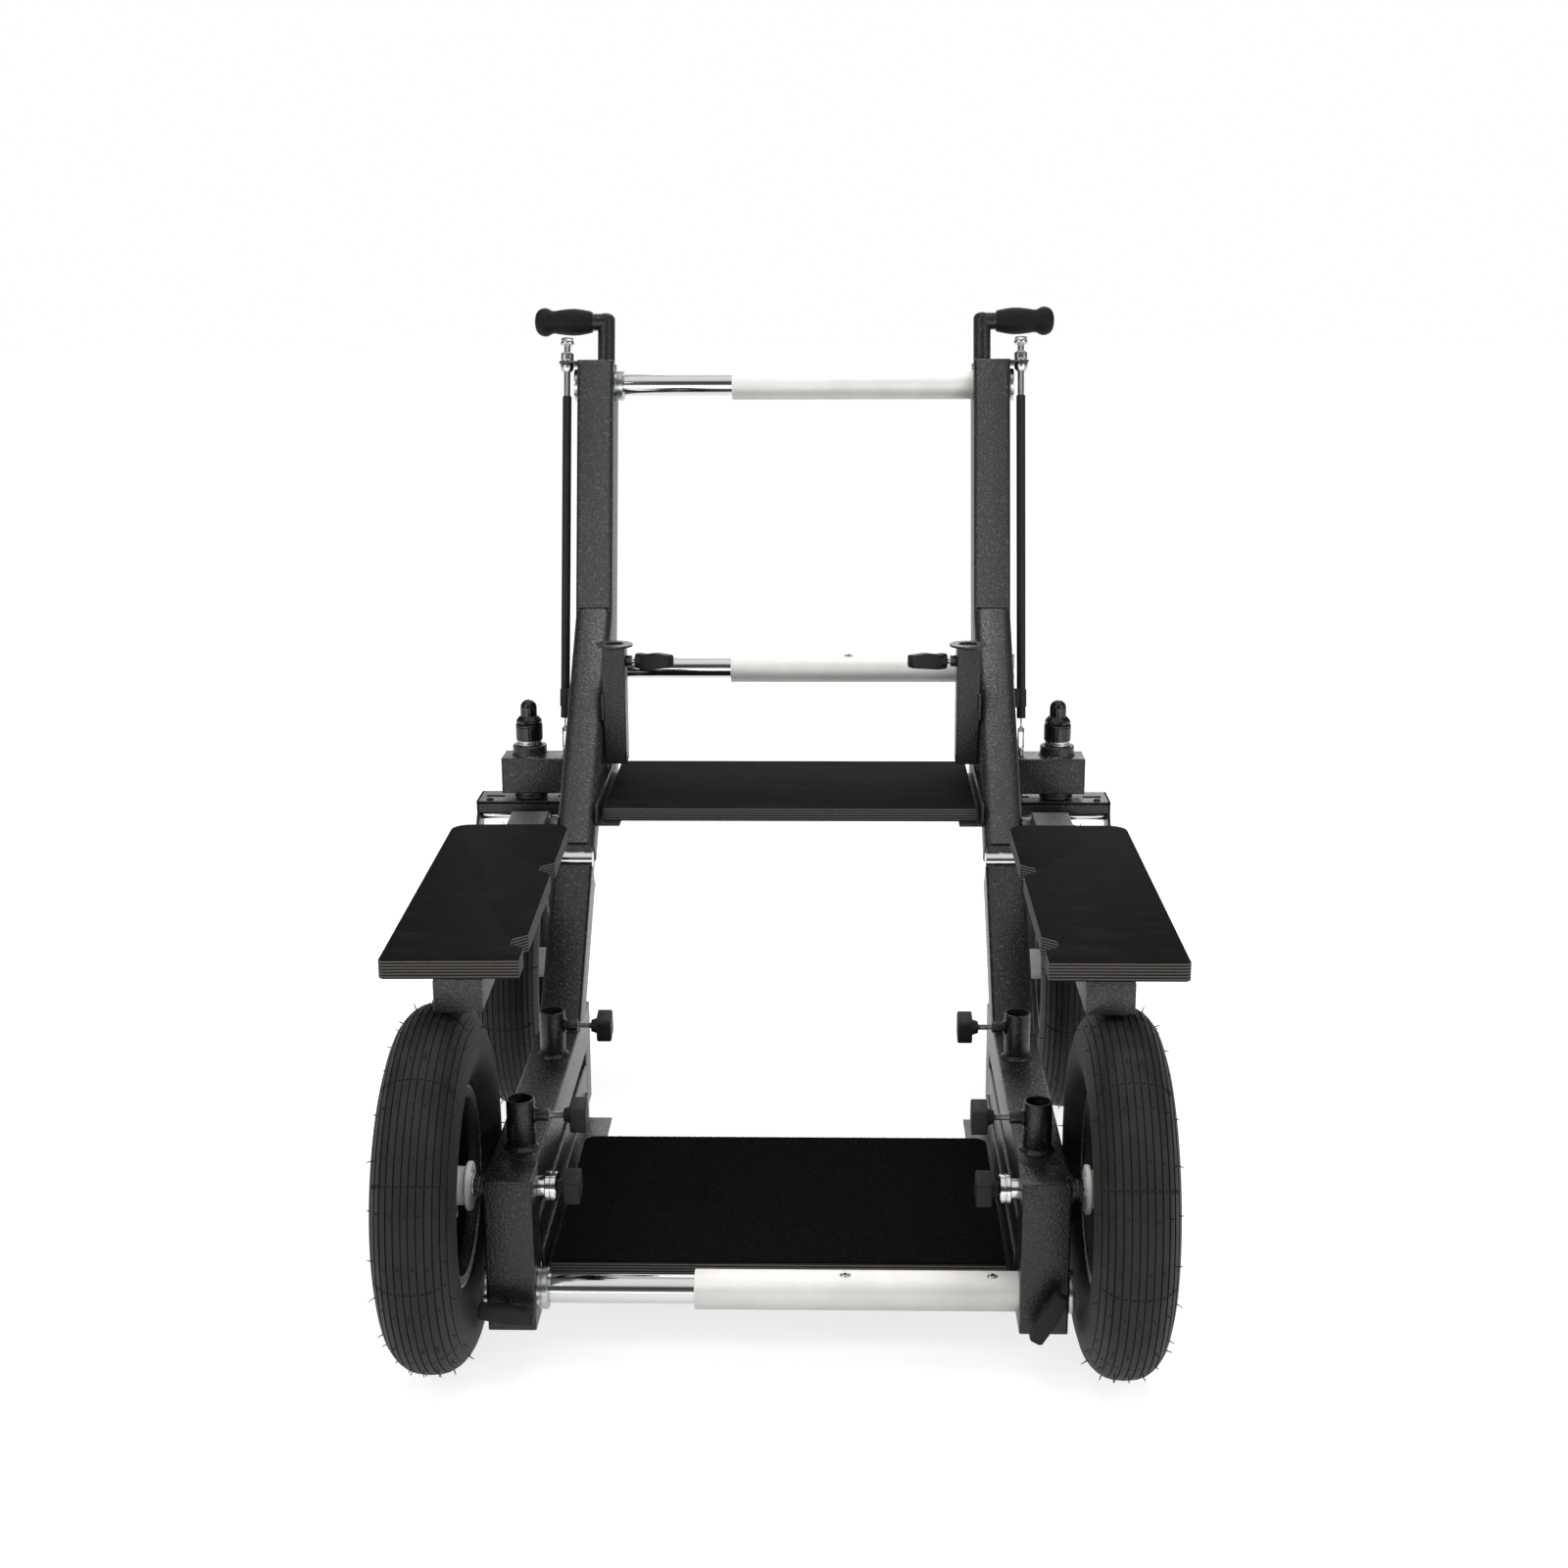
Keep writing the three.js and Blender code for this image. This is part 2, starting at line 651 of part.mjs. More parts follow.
// Outline of a square knob with round corners, in the YZ plane, turned a little about its screw.
function knobOutline(y, z) {
  const reach = (knobSide / 2 - knobCorner) * Math.SQRT2;
  const points = [];
  for (let corner = 0; corner < 4; corner += 1) {
    const toCorner = knobTurn + Math.PI / 4 + corner * Math.PI / 2;
    for (const swing of [-Math.PI / 4, 0, Math.PI / 4]) {
      points.push([
        y + reach * Math.cos(toCorner) + knobCorner * Math.cos(toCorner + swing),
        z + reach * Math.sin(toCorner) + knobCorner * Math.sin(toCorner + swing),
      ]);
    }
  }
  return outline(points);
}

// Knob with a cone that faces outward and a plain screw, on the X axis line through (y, z).
function knobScrew(y, z, tip, coneStart) {
  const knobEnd = coneStart - knobConeLength;
  const cone = turnedX([
    [0, knobEnd - weldBite], [knobConeRadius + knobFoot, knobEnd - weldBite],
    [knobConeRadius, coneStart], [0, coneStart],
  ], y, z, smallFacets);
  return shaped([
    sideSlab(knobOutline(y, z), knobEnd - knobThickness, knobEnd),
    cone,
    rodX(screwRadius, coneStart - weldBite, tip, y, z, smallFacets),
  ]);
}

function socketKnob(y) {
  const tip = socketX - socketBore;
  return knobScrew(y, topRailTop + socketScrewHeight, tip, tip - screwLength);
}

// Front axle: a shaft through the top rail, with its collar inside, its spacers and its outer head.
function frontAxle() {
  const hubOuterEnd = frontWheelX + hubReach;
  const neck = inner - seatGap;
  const collar = neck - axleNeckLength;
  const shaft = turnedX([
    [screwRadius + turnGap, collar - axleCollarThickness], [axleCollarRadius, collar - axleCollarThickness],
    [axleCollarRadius, collar], [axleNeckRadius, collar], [axleNeckRadius, neck], [axleRadius, neck],
    [axleRadius, outer + seatGap], [axleWasherRadius, outer + seatGap],
    [axleWasherRadius, outer + axleWasherThickness], [axleSpacerRadius, outer + axleWasherThickness],
    [axleSpacerRadius, hubInnerEnd - turnGap], [axleRadius, hubInnerEnd - turnGap],
    [axleRadius, hubOuterEnd + turnGap], [axleHeadRadius, hubOuterEnd + turnGap],
    [axleHeadRadius, hubOuterEnd + axleHeadThickness], [0, hubOuterEnd + axleHeadThickness],
    [0, collar], [screwRadius + turnGap, collar], [screwRadius + turnGap, collar - axleCollarThickness],
  ], axleSetback, tyreRadius);
  return shaped([shaft]);
}

function axleKnob() {
  const collarEnd = inner - seatGap - axleNeckLength - axleCollarThickness;
  return knobScrew(axleSetback, tyreRadius, collarEnd + axleCollarThickness - seatGap, collarEnd - seatGap);
}

// Pneumatic tyre round the X axis. Its flats, not its corners, are at the stated radius.
function tyre(x, y) {
  const spread = 1 / Math.cos(Math.PI / tyreFacets);
  const bead = beadRadius + seatGap;
  const height = tyreRadius - bead;
  const halfBead = rimWidth / 2 - rimLip - seatGap;
  const place = ([up, wide]) => [(bead + up * height) * spread, wide * tyreWidth / 2];
  const half = [[bead * spread, halfBead], [(beadRadius + rimLipHeight + seatGap) * spread, halfBead]]
    .concat(tyreOutlineShares.map(place));
  const mirror = half.map(([radius, along]) => [radius, -along]).reverse();
  const hollow = [[bead * spread, halfBead - tyreWall]].concat(tyreHollowShares.map(place));
  const hollowMirror = hollow.map(([radius, along]) => [radius, -along]);
  const ring = [...half, ...mirror, ...hollowMirror, ...hollow.reverse(), half[0]];
  const profile = ring.map(([radius, along]) => [radius, along + x]);
  return shaped([turnedX(profile.reverse(), y, tyreRadius, tyreFacets, Math.PI / tyreFacets)]);
}

// Rim with hub: the hub reaches as far inward as outward from the wheel's middle plane.
function rim(x, y, bore, reach) {
  const halfRim = rimWidth / 2;
  const halfWeb = rimWebThickness / 2;
  const lip = beadRadius + rimLipHeight;
  const well = beadRadius - rimWall;
  const profile = [
    [bore, -reach], [hubRadius, -reach], [hubRadius, hubFlange - reach],
    [hubBarrelRadius, hubFlange - reach], [hubBarrelRadius, -halfWeb], [well, -halfWeb],
    [well, -halfRim], [lip, -halfRim], [lip, rimLip - halfRim], [beadRadius, rimLip - halfRim],
    [beadRadius, halfRim - rimLip], [lip, halfRim - rimLip], [lip, halfRim], [well, halfRim],
    [well, halfWeb], [hubBarrelRadius, halfWeb], [hubBarrelRadius, reach], [bore, reach],
    [bore, -reach],
  ].map(([radius, along]) => [radius, along + x]);
  return shaped([turnedX(profile, y, tyreRadius, rimFacets)]);
}

function frontRim() {
  return rim(frontWheelX, axleSetback, axleRadius + turnGap, hubReach);
}

function rearRim() {
  const reach = forkInnerWidth / 2 - turnGap;
  return rim(rearWheelX, forkAxleY, axleBoltRadius + turnGap, reach);
}

// Caster fork: a channel shaped crown with two lock slots, an arm down each side of the wheel and
// two tie bars between the arms, close under the crown.
function casterFork() {
  const front = kingpinY - crownDepth / 2;
  const back = kingpinY + crownDepth / 2;
  const x0 = rearWheelX - forkHalfWidth;
  const x1 = rearWheelX + forkHalfWidth;
  const arm = new THREE.Shape();
  arm.moveTo(back, crownTop);
  arm.lineTo(front, crownTop);
  arm.lineTo(front, crownTop - crownFlange);
  arm.lineTo(forkAxleY - forkEarRadius, tyreRadius);
  arm.absarc(forkAxleY, tyreRadius, forkEarRadius, Math.PI, 2 * Math.PI, false);
  arm.lineTo(back, crownTop - crownFlange);
  const halfSlot = crownSlotLength / 2;
  const halfSlotWidth = crownSlotWidth / 2;
  const slot = (x) => box(x - halfSlot, x + halfSlot, kingpinY - halfSlotWidth, kingpinY + halfSlotWidth,
    crownTop - crownPlate - overrun, crownTop + overrun);
  const tieBar = (y) => rodX(tieBarRadius, x0 + weldBite, x1 - weldBite,
    y, crownTop - tieBarDrop, smallFacets);
  return shaped([
    box(x0, x1, front, back, crownTop - crownPlate, crownTop),
    box(x0, x1, front, front + crownPlate, crownTop - crownFlange, crownTop),
    box(x0, x1, back - crownPlate, back, crownTop - crownFlange, crownTop),
    sideSlab(arm, x0, x0 + crownPlate),
    sideSlab(arm, x1 - crownPlate, x1),
    tieBar(front + tieBarInset),
    tieBar(back - tieBarInset),
  ], [
    slot(lockX),
    slot(2 * rearWheelX - lockX),
    rodX(axleBoltRadius + seatGap, x0 - overrun, x1 + overrun, forkAxleY, tyreRadius),
  ]);
}

// Axle bolt of a rear wheel, with its head and its nut.
function rearAxle() {
  const x0 = rearWheelX - forkHalfWidth - seatGap;
  const x1 = rearWheelX + forkHalfWidth + seatGap;
  return shaped([
    rodX(axleBoltRadius, x0 - weldBite, x1 + weldBite, forkAxleY, tyreRadius),
    rodX(axleNutRadius, x0 - axleNutHeight, x0, forkAxleY, tyreRadius, 6),
    rodX(axleNutRadius, x1, x1 + axleNutHeight, forkAxleY, tyreRadius, 6),
  ]);
}

// Kingpin that stands on the crown, with its thrust washer, bush, nut and domed cap.
function kingpin() {
  const washer = casterArmTop + upperCollarHeight + turnGap;
  const bush = washer + thrustWasherThickness;
  const nut = bush + bushHeight;
  const dome = nut + kingNutHeight;
  const domeFoot = dome + acornHeight - acornRadius;
  const domeStep = acornRadius * Math.cos(Math.PI / 6);
  const stack = turnedZ([
    [0, crownTop + seatGap], [kingpinRadius, crownTop + seatGap], [kingpinRadius, washer],
    [thrustWasherRadius, washer], [thrustWasherRadius, bush], [bushRadius, bush], [bushRadius, nut],
    [acornRadius, nut], [acornRadius, domeFoot], [domeStep, domeFoot + acornRadius / 2],
    [acornRadius / 2, domeFoot + domeStep], [0, dome + acornHeight],
  ], rearWheelX, kingpinY);
  return shaped([stack, hexZ(kingNutWidth, nut - weldBite, dome, rearWheelX, kingpinY)]);
}

// Pull rod of the caster lock: head, rod and the wire that ends over the clevis.
function lockRod() {
  const head = pullBracketHeight + pullHeadStand;
  const rodEnd = pullSleeveLow + pullRodSink;
  const wireEnd = (clevisTop + seatGap - casterArmMiddle) * Math.cos(postLean);
  return leaned(shaped([
    hexZ(pullHeadWidth, head, head + pullHeadHeight, lockX, pullRodSide),
    rodZ(pullRodRadius, rodEnd, head + weldBite, lockX, pullRodSide, smallFacets),
    rodZ(pullWireRadius, wireEnd + turnGap, rodEnd + weldBite, lockX, pullRodSide, 8),
  ]));
}

// Guide tube of the pull rod, with a tab near its foot that lies on the post.
function lockSleeve() {
  const tabEnd = lockX - pullSleeveRadius / 2;
  const halfTab = sleeveTabWidth / 2;
  const upright = shaped([
    rodZ(pullSleeveRadius, pullSleeveLow, pullSleeveHigh, lockX, pullRodSide, smallFacets),
    box(outer + seatGap, tabEnd, pullRodSide - halfTab, pullRodSide + halfTab,
      sleeveTabLow, sleeveTabLow + sleeveTabHeight),
  ], [
    rodZ(pullRodRadius + turnGap, pullSleeveLow - overrun, pullSleeveHigh + overrun,
      lockX, pullRodSide, smallFacets),
  ]);
  return leaned(upright);
}

// Lock pin that drops through the caster arm into a slot of the crown, with its clevis.
function lockPin() {
  const half = clevisWidth / 2;
  return shaped([
    box(lockX - half, lockX + half, kingpinY - half, kingpinY + half, clevisTop - clevisHeight, clevisTop),
    rodZ(lockPinRadius, crownTop + lockPinClear, clevisTop - clevisHeight + weldBite,
      lockX, kingpinY, smallFacets),
  ]);
}

// Push handle: a round tube out of the post's top that turns outward.
function pushHandle() {
  const foot = postTopAlong() - handleSink;
  const level = postTopAlong() + handleRise;
  const bendPoints = [];
  for (let step = 0; step <= elbowSteps; step += 1) {
    const turn = step / elbowSteps * Math.PI / 2;
    bendPoints.push(new THREE.Vector3(
      handleX + handleBend * (1 - Math.cos(turn)), 0, level - handleBend * (1 - Math.sin(turn))));
  }
  const ring = Array.from({ length: smallFacets }, (_, facet) => {
    const at = facet / smallFacets * 2 * Math.PI;
    return [handleRadius * Math.cos(at), handleRadius * Math.sin(at)];
  });
  const elbow = new THREE.ExtrudeGeometry(outline(ring), {
    extrudePath: new THREE.CatmullRomCurve3(bendPoints), steps: elbowSteps, bevelEnabled: false,
  });
  return leaned(shaped([
    rodZ(handleRadius, foot, level - handleBend + weldBite, handleX, 0, smallFacets),
    elbow,
    rodX(handleRadius, handleX + handleBend - weldBite, handleReach, 0, level, smallFacets),
  ]));
}

// Rubber grip with a flared, closed outer end.
function grip() {
  const bore = (handleRadius + seatGap) / Math.cos(Math.PI / roundFacets);
  const boreEnd = handleReach + seatGap;
  return shaped([leaned(turnedX([
    [bore, gripStart], [gripRadius, gripStart], [gripRadius, gripEnd - gripFlareLength],
    [gripFlareRadius, gripEnd - gripFlareLength / 2], [gripFlareRadius, gripEnd - gripCapThickness / 2],
    [gripRadius, gripEnd], [0, gripEnd], [0, boreEnd], [bore, boreEnd], [bore, gripStart],
  ], 0, postTopAlong() + handleRise))]);
}

// Square arm under a side board, turned by its skew about the pivot's place.
function skewed(geometry, skew) {
  geometry.translate(-sideArmX, -sideArmPivotY, 0).rotateZ(-skew);
  return geometry.translate(sideArmX, sideArmPivotY, 0);
}

function sideArm(skew) {
  const x0 = sideArmX - sideArmWidth / 2;
  const x1 = sideArmX + sideArmWidth / 2;
  const w = tubeWall;
  return shaped([
    skewed(box(x0, x1, sideArmFrontY, sideArmRearY, sideArmBottom, sideArmTop), skew),
  ], [
    skewed(box(x0 + w, x1 - w, sideArmFrontY + w, sideArmRearY + overrun,
      sideArmBottom + w, sideArmTop - w), skew),
    rodX(sideArmPivotRadius + turnGap, x0 - sideArmWidth / 2, x1 + sideArmWidth / 2,
      sideArmPivotY, sideArmMiddle, smallFacets),
  ]);
}

// Side board: rounded at the rear, with two notches in its inner edge that clear the sockets' posts.
function sideBoard(skew) {
  const x0 = sideArmX + sideBoardOffset - sideBoardWidth / 2;
  const x1 = x0 + sideBoardWidth;
  const y0 = sideBoardFrontY;
  const y1 = y0 + sideBoardLength;
  const shape = new THREE.Shape();
  shape.moveTo(x0, y0);
  shape.lineTo(x1 - sideBoardEdgeCorner, y0);
  shape.lineTo(x1, y0 + sideBoardEdgeCorner);
  shape.lineTo(x1, y1 - sideBoardCorner);
  shape.absarc(x1 - sideBoardCorner, y1 - sideBoardCorner, sideBoardCorner, 0, Math.PI / 2, false);
  shape.lineTo(x0 + sideBoardCorner, y1);
  shape.absarc(x0 + sideBoardCorner, y1 - sideBoardCorner, sideBoardCorner, Math.PI / 2, Math.PI, false);
  for (const place of [socketPlaces.rear, socketPlaces.front]) {
    shape.lineTo(x0, place + notchWidth / 2);
    shape.lineTo(x0 + notchDepth, place + notchWidth / 2 - notchSlant);
    shape.lineTo(x0 + notchDepth, place - notchWidth / 2 + notchSlant);
    shape.lineTo(x0, place - notchWidth / 2);
  }
  return shaped([
    skewed(flatSlab(shape, sideArmTop + seatGap, sideArmTop + seatGap + sideBoardThickness), skew),
  ]);
}

// Polished bar through the split of the leg, under the side arm.
function supportBar() {
  const end = sideArmX + sideArmWidth / 2 + supportBarOverhang;
  return rodX(supportBarRadius, inner, end, supportBarY, supportBarZ);
}

// Clamp handle on the front of an upright, turned about its stud.
function clampHandle(turn) {
  const halfLength = clampHandleLength / 2;
  const halfWidth = clampHandleWidth / 2;
  const bar = outline([
    [-halfLength, -halfWidth * 0.7], [0, -halfWidth], [halfLength, -halfWidth * 0.7],
    [halfLength, halfWidth * 0.7], [0, halfWidth], [-halfLength, halfWidth * 0.7],
  ]);
  const blade = new THREE.ExtrudeGeometry(bar, { depth: clampHandleDepth, bevelEnabled: false });
  blade.rotateX(Math.PI / 2).rotateY(-turn).translate(clampX, -clampStudLength, clampZ);
  return shaped([
    blade,
    rodY(clampStudRadius, -clampStudLength - weldBite, clampStudSink, clampX, clampZ, smallFacets),
  ]);
}

// Platform board: rounded at its rear corners.
function platformBoard() {
  const shape = new THREE.Shape();
  const half = platformHalfWidth;
  const y1 = platformFrontY + platformLength;
  shape.moveTo(-half, platformFrontY);
  shape.lineTo(half, platformFrontY);
  shape.lineTo(half, y1 - platformCorner);
  shape.absarc(half - platformCorner, y1 - platformCorner, platformCorner, 0, Math.PI / 2, false);
  shape.lineTo(platformCorner - half, y1);
  shape.absarc(platformCorner - half, y1 - platformCorner, platformCorner, Math.PI / 2, Math.PI, false);
  return flatSlab(shape, platformTop - boardThickness, platformTop);
}

function seatBoard() {
  return box(-seatHalfWidth, seatHalfWidth, seatFrontY, seatFrontY + seatDepth,
    seatTop - boardThickness, seatTop);
}

// Inner tube of a cross tube: held in the left frame between a collar and an end disc.
function innerTube(y, z) {
  const end = sleeveMouthX + tubeOverlap;
  const disc = -outer - seatGap;
  return shaped([
    rodX(innerTubeRadius, disc - weldBite, end, y, z),
    rodX(endDiscRadius, disc - endDiscThickness, disc, y, z),
    rodX(collarRadius, seatGap - inner, seatGap - inner + collarLength, y, z),
  ], [
    rodX(innerTubeRadius - innerTubeWall, disc, end + overrun, y, z),
  ]);
}

// Outer sleeve of a cross tube: held in the right frame by its end disc.
function sleeve(y, z) {
  const disc = outer + seatGap;
  return shaped([
    rodX(sleeveRadius, sleeveMouthX, disc + weldBite, y, z),
    rodX(endDiscRadius, disc, disc + endDiscThickness, y, z),
  ], [
    rodX(innerTubeRadius + turnGap, sleeveMouthX - overrun, disc - weldBite, y, z),
  ]);
}

const dolly = new THREE.Group();
dolly.position.y = -machineMiddleY;

// Adds a piece to its group. A mirrored group turns the right hand side into the left hand one.
function addPiece(group, name, geometry, material) {
  const mesh = new THREE.Mesh(geometry.index ? geometry : toGeometry(toBody(geometry)), material);
  mesh.name = name;
  group.add(mesh);
}

for (const side of ['left', 'right']) {
  const skew = sideArmSkews[side];
  const sideGroup = new THREE.Group();
  sideGroup.scale.x = side === 'left' ? -1 : 1;
  dolly.add(sideGroup);
  const add = (name, geometry, material) => addPiece(sideGroup, `${name}_${side}`, geometry, material);
  add('front_frame', frontFrameFor(side), blackPowderCoat());
  add('rear_frame', rearFrameFor(side), blackPowderCoat());
  add('seat_socket', seatSocket(), blackPowderCoat());
  add('seat_lever', seatLever(), blackPlastic());
  for (const [place, y] of Object.entries(socketPlaces)) {
    add(`${place}_socket`, roundSocket(y), blackPowderCoat());
    add(`${place}_socket_knob`, socketKnob(y), blackPlastic());
  }
  add('front_axle', frontAxle(), polishedSteel());
  add('axle_knob', axleKnob(), blackPlastic());
  add('front_rim', frontRim(), satinAluminium());
  add('front_tyre', tyre(frontWheelX, axleSetback), blackRubber());
  add('rear_rim', rearRim(), satinAluminium());
  add('rear_tyre', tyre(rearWheelX, forkAxleY), blackRubber());
  add('caster_fork', casterFork(), blackPowderCoat());
  add('rear_axle', rearAxle(), zincPlate());
  add('kingpin', kingpin(), blackPlastic());
  add('lock_rod', lockRod(), zincPlate());
  add('lock_sleeve', lockSleeve(), blackPlastic());
  add('lock_pin', lockPin(), zincPlate());
  add('push_handle', pushHandle(), blackPowderCoat());
  add('grip', grip(), blackRubber());
  add('side_arm', sideArm(skew), blackPowderCoat());
  add('side_board', sideBoard(skew), facedPlywood());
  add('support_bar', supportBar(), polishedSteel());
  add('clamp_handle', clampHandle(clampTurns[side]), blackPlastic());
}

const crossTubes = {
  front: [frontTubeY, frontTubeZ],
  middle: [postMiddleY(middleTubeZ), middleTubeZ],
  upper: [postMiddleY(upperTubeZ), upperTubeZ],
};
for (const [place, [y, z]] of Object.entries(crossTubes)) {
  addPiece(dolly, `${place}_inner_tube`, innerTube(y, z), polishedSteel());
  addPiece(dolly, `${place}_sleeve`, sleeve(y, z), satinAluminium());
}
addPiece(dolly, 'platform_board', platformBoard(), facedPlywood());
addPiece(dolly, 'seat_board', seatBoard(), facedPlywood());

export default dolly;
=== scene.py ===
"""Doorway dolly for a film set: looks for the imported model, laid out as an add-on and run as a script."""

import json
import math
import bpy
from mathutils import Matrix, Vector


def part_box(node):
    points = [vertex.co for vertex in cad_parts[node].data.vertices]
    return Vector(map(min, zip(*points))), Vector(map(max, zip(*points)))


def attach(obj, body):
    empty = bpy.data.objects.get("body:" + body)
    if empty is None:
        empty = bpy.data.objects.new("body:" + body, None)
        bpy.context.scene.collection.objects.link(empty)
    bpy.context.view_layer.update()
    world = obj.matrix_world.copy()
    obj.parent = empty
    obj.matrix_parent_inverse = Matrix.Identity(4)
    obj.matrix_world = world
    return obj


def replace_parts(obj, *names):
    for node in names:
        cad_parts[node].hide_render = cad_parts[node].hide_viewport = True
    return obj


bl_info = {
    "name": "Doorway Dolly",
    "version": (1, 0, 0),
    "blender": (4, 5, 0),
    "location": "View3D > Sidebar > Dolly",
    "description": "Builds a doorway dolly around its packed solids",
    "category": "Add Mesh",
}

from types import SimpleNamespace

import bmesh
import bpy
from mathutils import Euler, Matrix, Vector

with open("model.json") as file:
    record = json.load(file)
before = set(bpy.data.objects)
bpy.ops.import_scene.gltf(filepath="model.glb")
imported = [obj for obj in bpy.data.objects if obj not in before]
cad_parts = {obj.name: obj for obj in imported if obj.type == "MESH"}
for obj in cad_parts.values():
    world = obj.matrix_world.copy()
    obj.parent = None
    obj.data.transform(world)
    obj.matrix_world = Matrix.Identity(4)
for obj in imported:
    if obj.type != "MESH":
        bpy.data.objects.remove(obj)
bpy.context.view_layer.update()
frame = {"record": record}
# Pieces are drawn in millimetres, for the right hand side, and make_piece() scales and mirrors them
MM = 0.001
SIDES = {"left": -1, "right": 1}
FULL_TURN = 2 * math.pi
BODIES = {node: body for body, nodes in frame["record"]["behaviour"]["bodies"].items() for node in nodes}


def box(node):
    """A node's lowest and highest corners, in millimetres."""
    return [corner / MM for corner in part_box(node)]


def centre(node):
    low, high = box(node)
    return (low + high) / 2


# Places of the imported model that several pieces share
TUBE = 50
RAIL_GAP = 15
FRONT_Y = box("front_frame_right")[0].y
OUTER_X = box("front_frame_right")[1].x
INNER_X = OUTER_X - TUBE
FRONT_WHEEL = centre("front_tyre_right")
REAR_WHEEL = centre("rear_tyre_right")
KINGPIN = centre("kingpin_right")
RAIL_TOP = FRONT_WHEEL.z + TUBE / 2
FRAME_LENGTH = 530
FRAME_END = FRONT_Y + FRAME_LENGTH
LEG_FOOT_Y = FRONT_Y + 424
LEG_SLOPE = math.radians(41.45)
POST_LEAN = math.radians(16.3)
POST_DEPTH = 80
ARM_BOTTOM = 396
ARM_MIDDLE = ARM_BOTTOM + TUBE / 2
ARM_TOP = ARM_BOTTOM + TUBE
POST_TOP = 978
SUPPORT_BAR = centre("support_bar_right")
SUPPORT_RADIUS = 10
LEG_LEAD = 12
HANDLE_RADIUS = 12
SLEEVE_RADIUS = 20.5
# Running gap between a frame's side and what turns or stands beside it
GAP = 0.3
LOCK_X = centre("lock_pin_right").x
# The lock's parts stand beside the post's middle line by this much
LOCK_SIDE = -(box("lock_pin_right")[1].z - ARM_MIDDLE) * math.sin(POST_LEAN)
LOCK_LINE = (LOCK_X, LOCK_SIDE, 0)


def along_leg(along, depth):
    """A point in the YZ plane, along the leg from its foot and inward from its upper face."""
    y = LEG_FOOT_Y + along * math.cos(LEG_SLOPE) + depth * math.sin(LEG_SLOPE)
    z = RAIL_TOP + along * math.sin(LEG_SLOPE) - depth * math.cos(LEG_SLOPE)
    return y, z


def leg_share(y, z):
    """How far along the leg a point of the YZ plane lies."""
    return (y - LEG_FOOT_Y) * math.cos(LEG_SLOPE) + (z - RAIL_TOP) * math.sin(LEG_SLOPE)


def placed(middle, turn, axis="X"):
    """A turn about an axis, and then a move to a point."""
    return Matrix.Translation(middle) @ Matrix.Rotation(turn, 4, axis)


# The post's own frame: Z runs up its middle line from the caster arm
ON_POST = placed((0, KINGPIN.y, ARM_MIDDLE), -POST_LEAN)
POST_RISE = POST_TOP - ARM_MIDDLE
POST_FRONT_AT_TOP = POST_RISE * math.tan(POST_LEAN) - POST_DEPTH / (2 * math.cos(POST_LEAN))
POST_END = POST_FRONT_AT_TOP * math.sin(POST_LEAN) + POST_RISE * math.cos(POST_LEAN)
BRACKET_TOP = POST_END + 0.4


# Settings that a user would change


def linear(hex_text):
    """An sRGB hex colour as linear red, green, blue and alpha."""
    parts = [int(hex_text[i:i + 2], 16) / 255 for i in (1, 3, 5)]
    return tuple(p / 12.92 if p <= 0.04045 else ((p + 0.055) / 1.055) ** 2.4 for p in parts) + (1.0,)


def length(name, millimetres, description):
    return bpy.props.FloatProperty(
        name=name, description=description, default=millimetres * MM, min=0.0, unit="LENGTH", precision=5)


def tint(name, hex_text, description):
    return bpy.props.FloatVectorProperty(
        name=name, description=description, default=linear(hex_text), size=4, min=0.0, max=1.0,
        subtype="COLOR")


class DollyFrameSizes(bpy.types.PropertyGroup):
    corner: length("Rail corner", 2.2, "Outside radius of the front frame's tube corners")
    post_corner: length("Post corner", 6.0, "Outside radius of the corners of post and lower leg")
    edge: length("Cut edge", 0.6, "Rounding that the coat gives a cut edge")
    weld: length("Weld bead", 2.6, "Radius of the weld beads")
    weld_pitch: length("Weld pitch", 3.0, "Distance between the ripples of a bead")
    angle_wall: length("Angle wall", 3.0, "Thickness of the angles and brackets")


class DollyWheelSizes(bpy.types.PropertyGroup):
    groove: length("Tread groove", 1.6, "Depth of the grooves round the tyre")
    sipe: length("Sipe", 1.0, "Depth of the short cuts across the tyre's ribs")
    hair: length("Moulding hair", 8.0, "Length of the rubber hairs that moulding leaves")
    rows: bpy.props.IntProperty(
        name="Rows of hairs", description="Rows of hairs and cuts across the tyre, all round it",
        default=22, min=2)


class DollyBoardSizes(bpy.types.PropertyGroup):
    ply: length("Ply", 1.6, "Thickness of one layer of the plywood")
    pile: length("Carpet pile", 2.4, "Height of the carpet on the low platform")
    chamfer: length("Board edge", 0.8, "Rounding of the boards' edges")


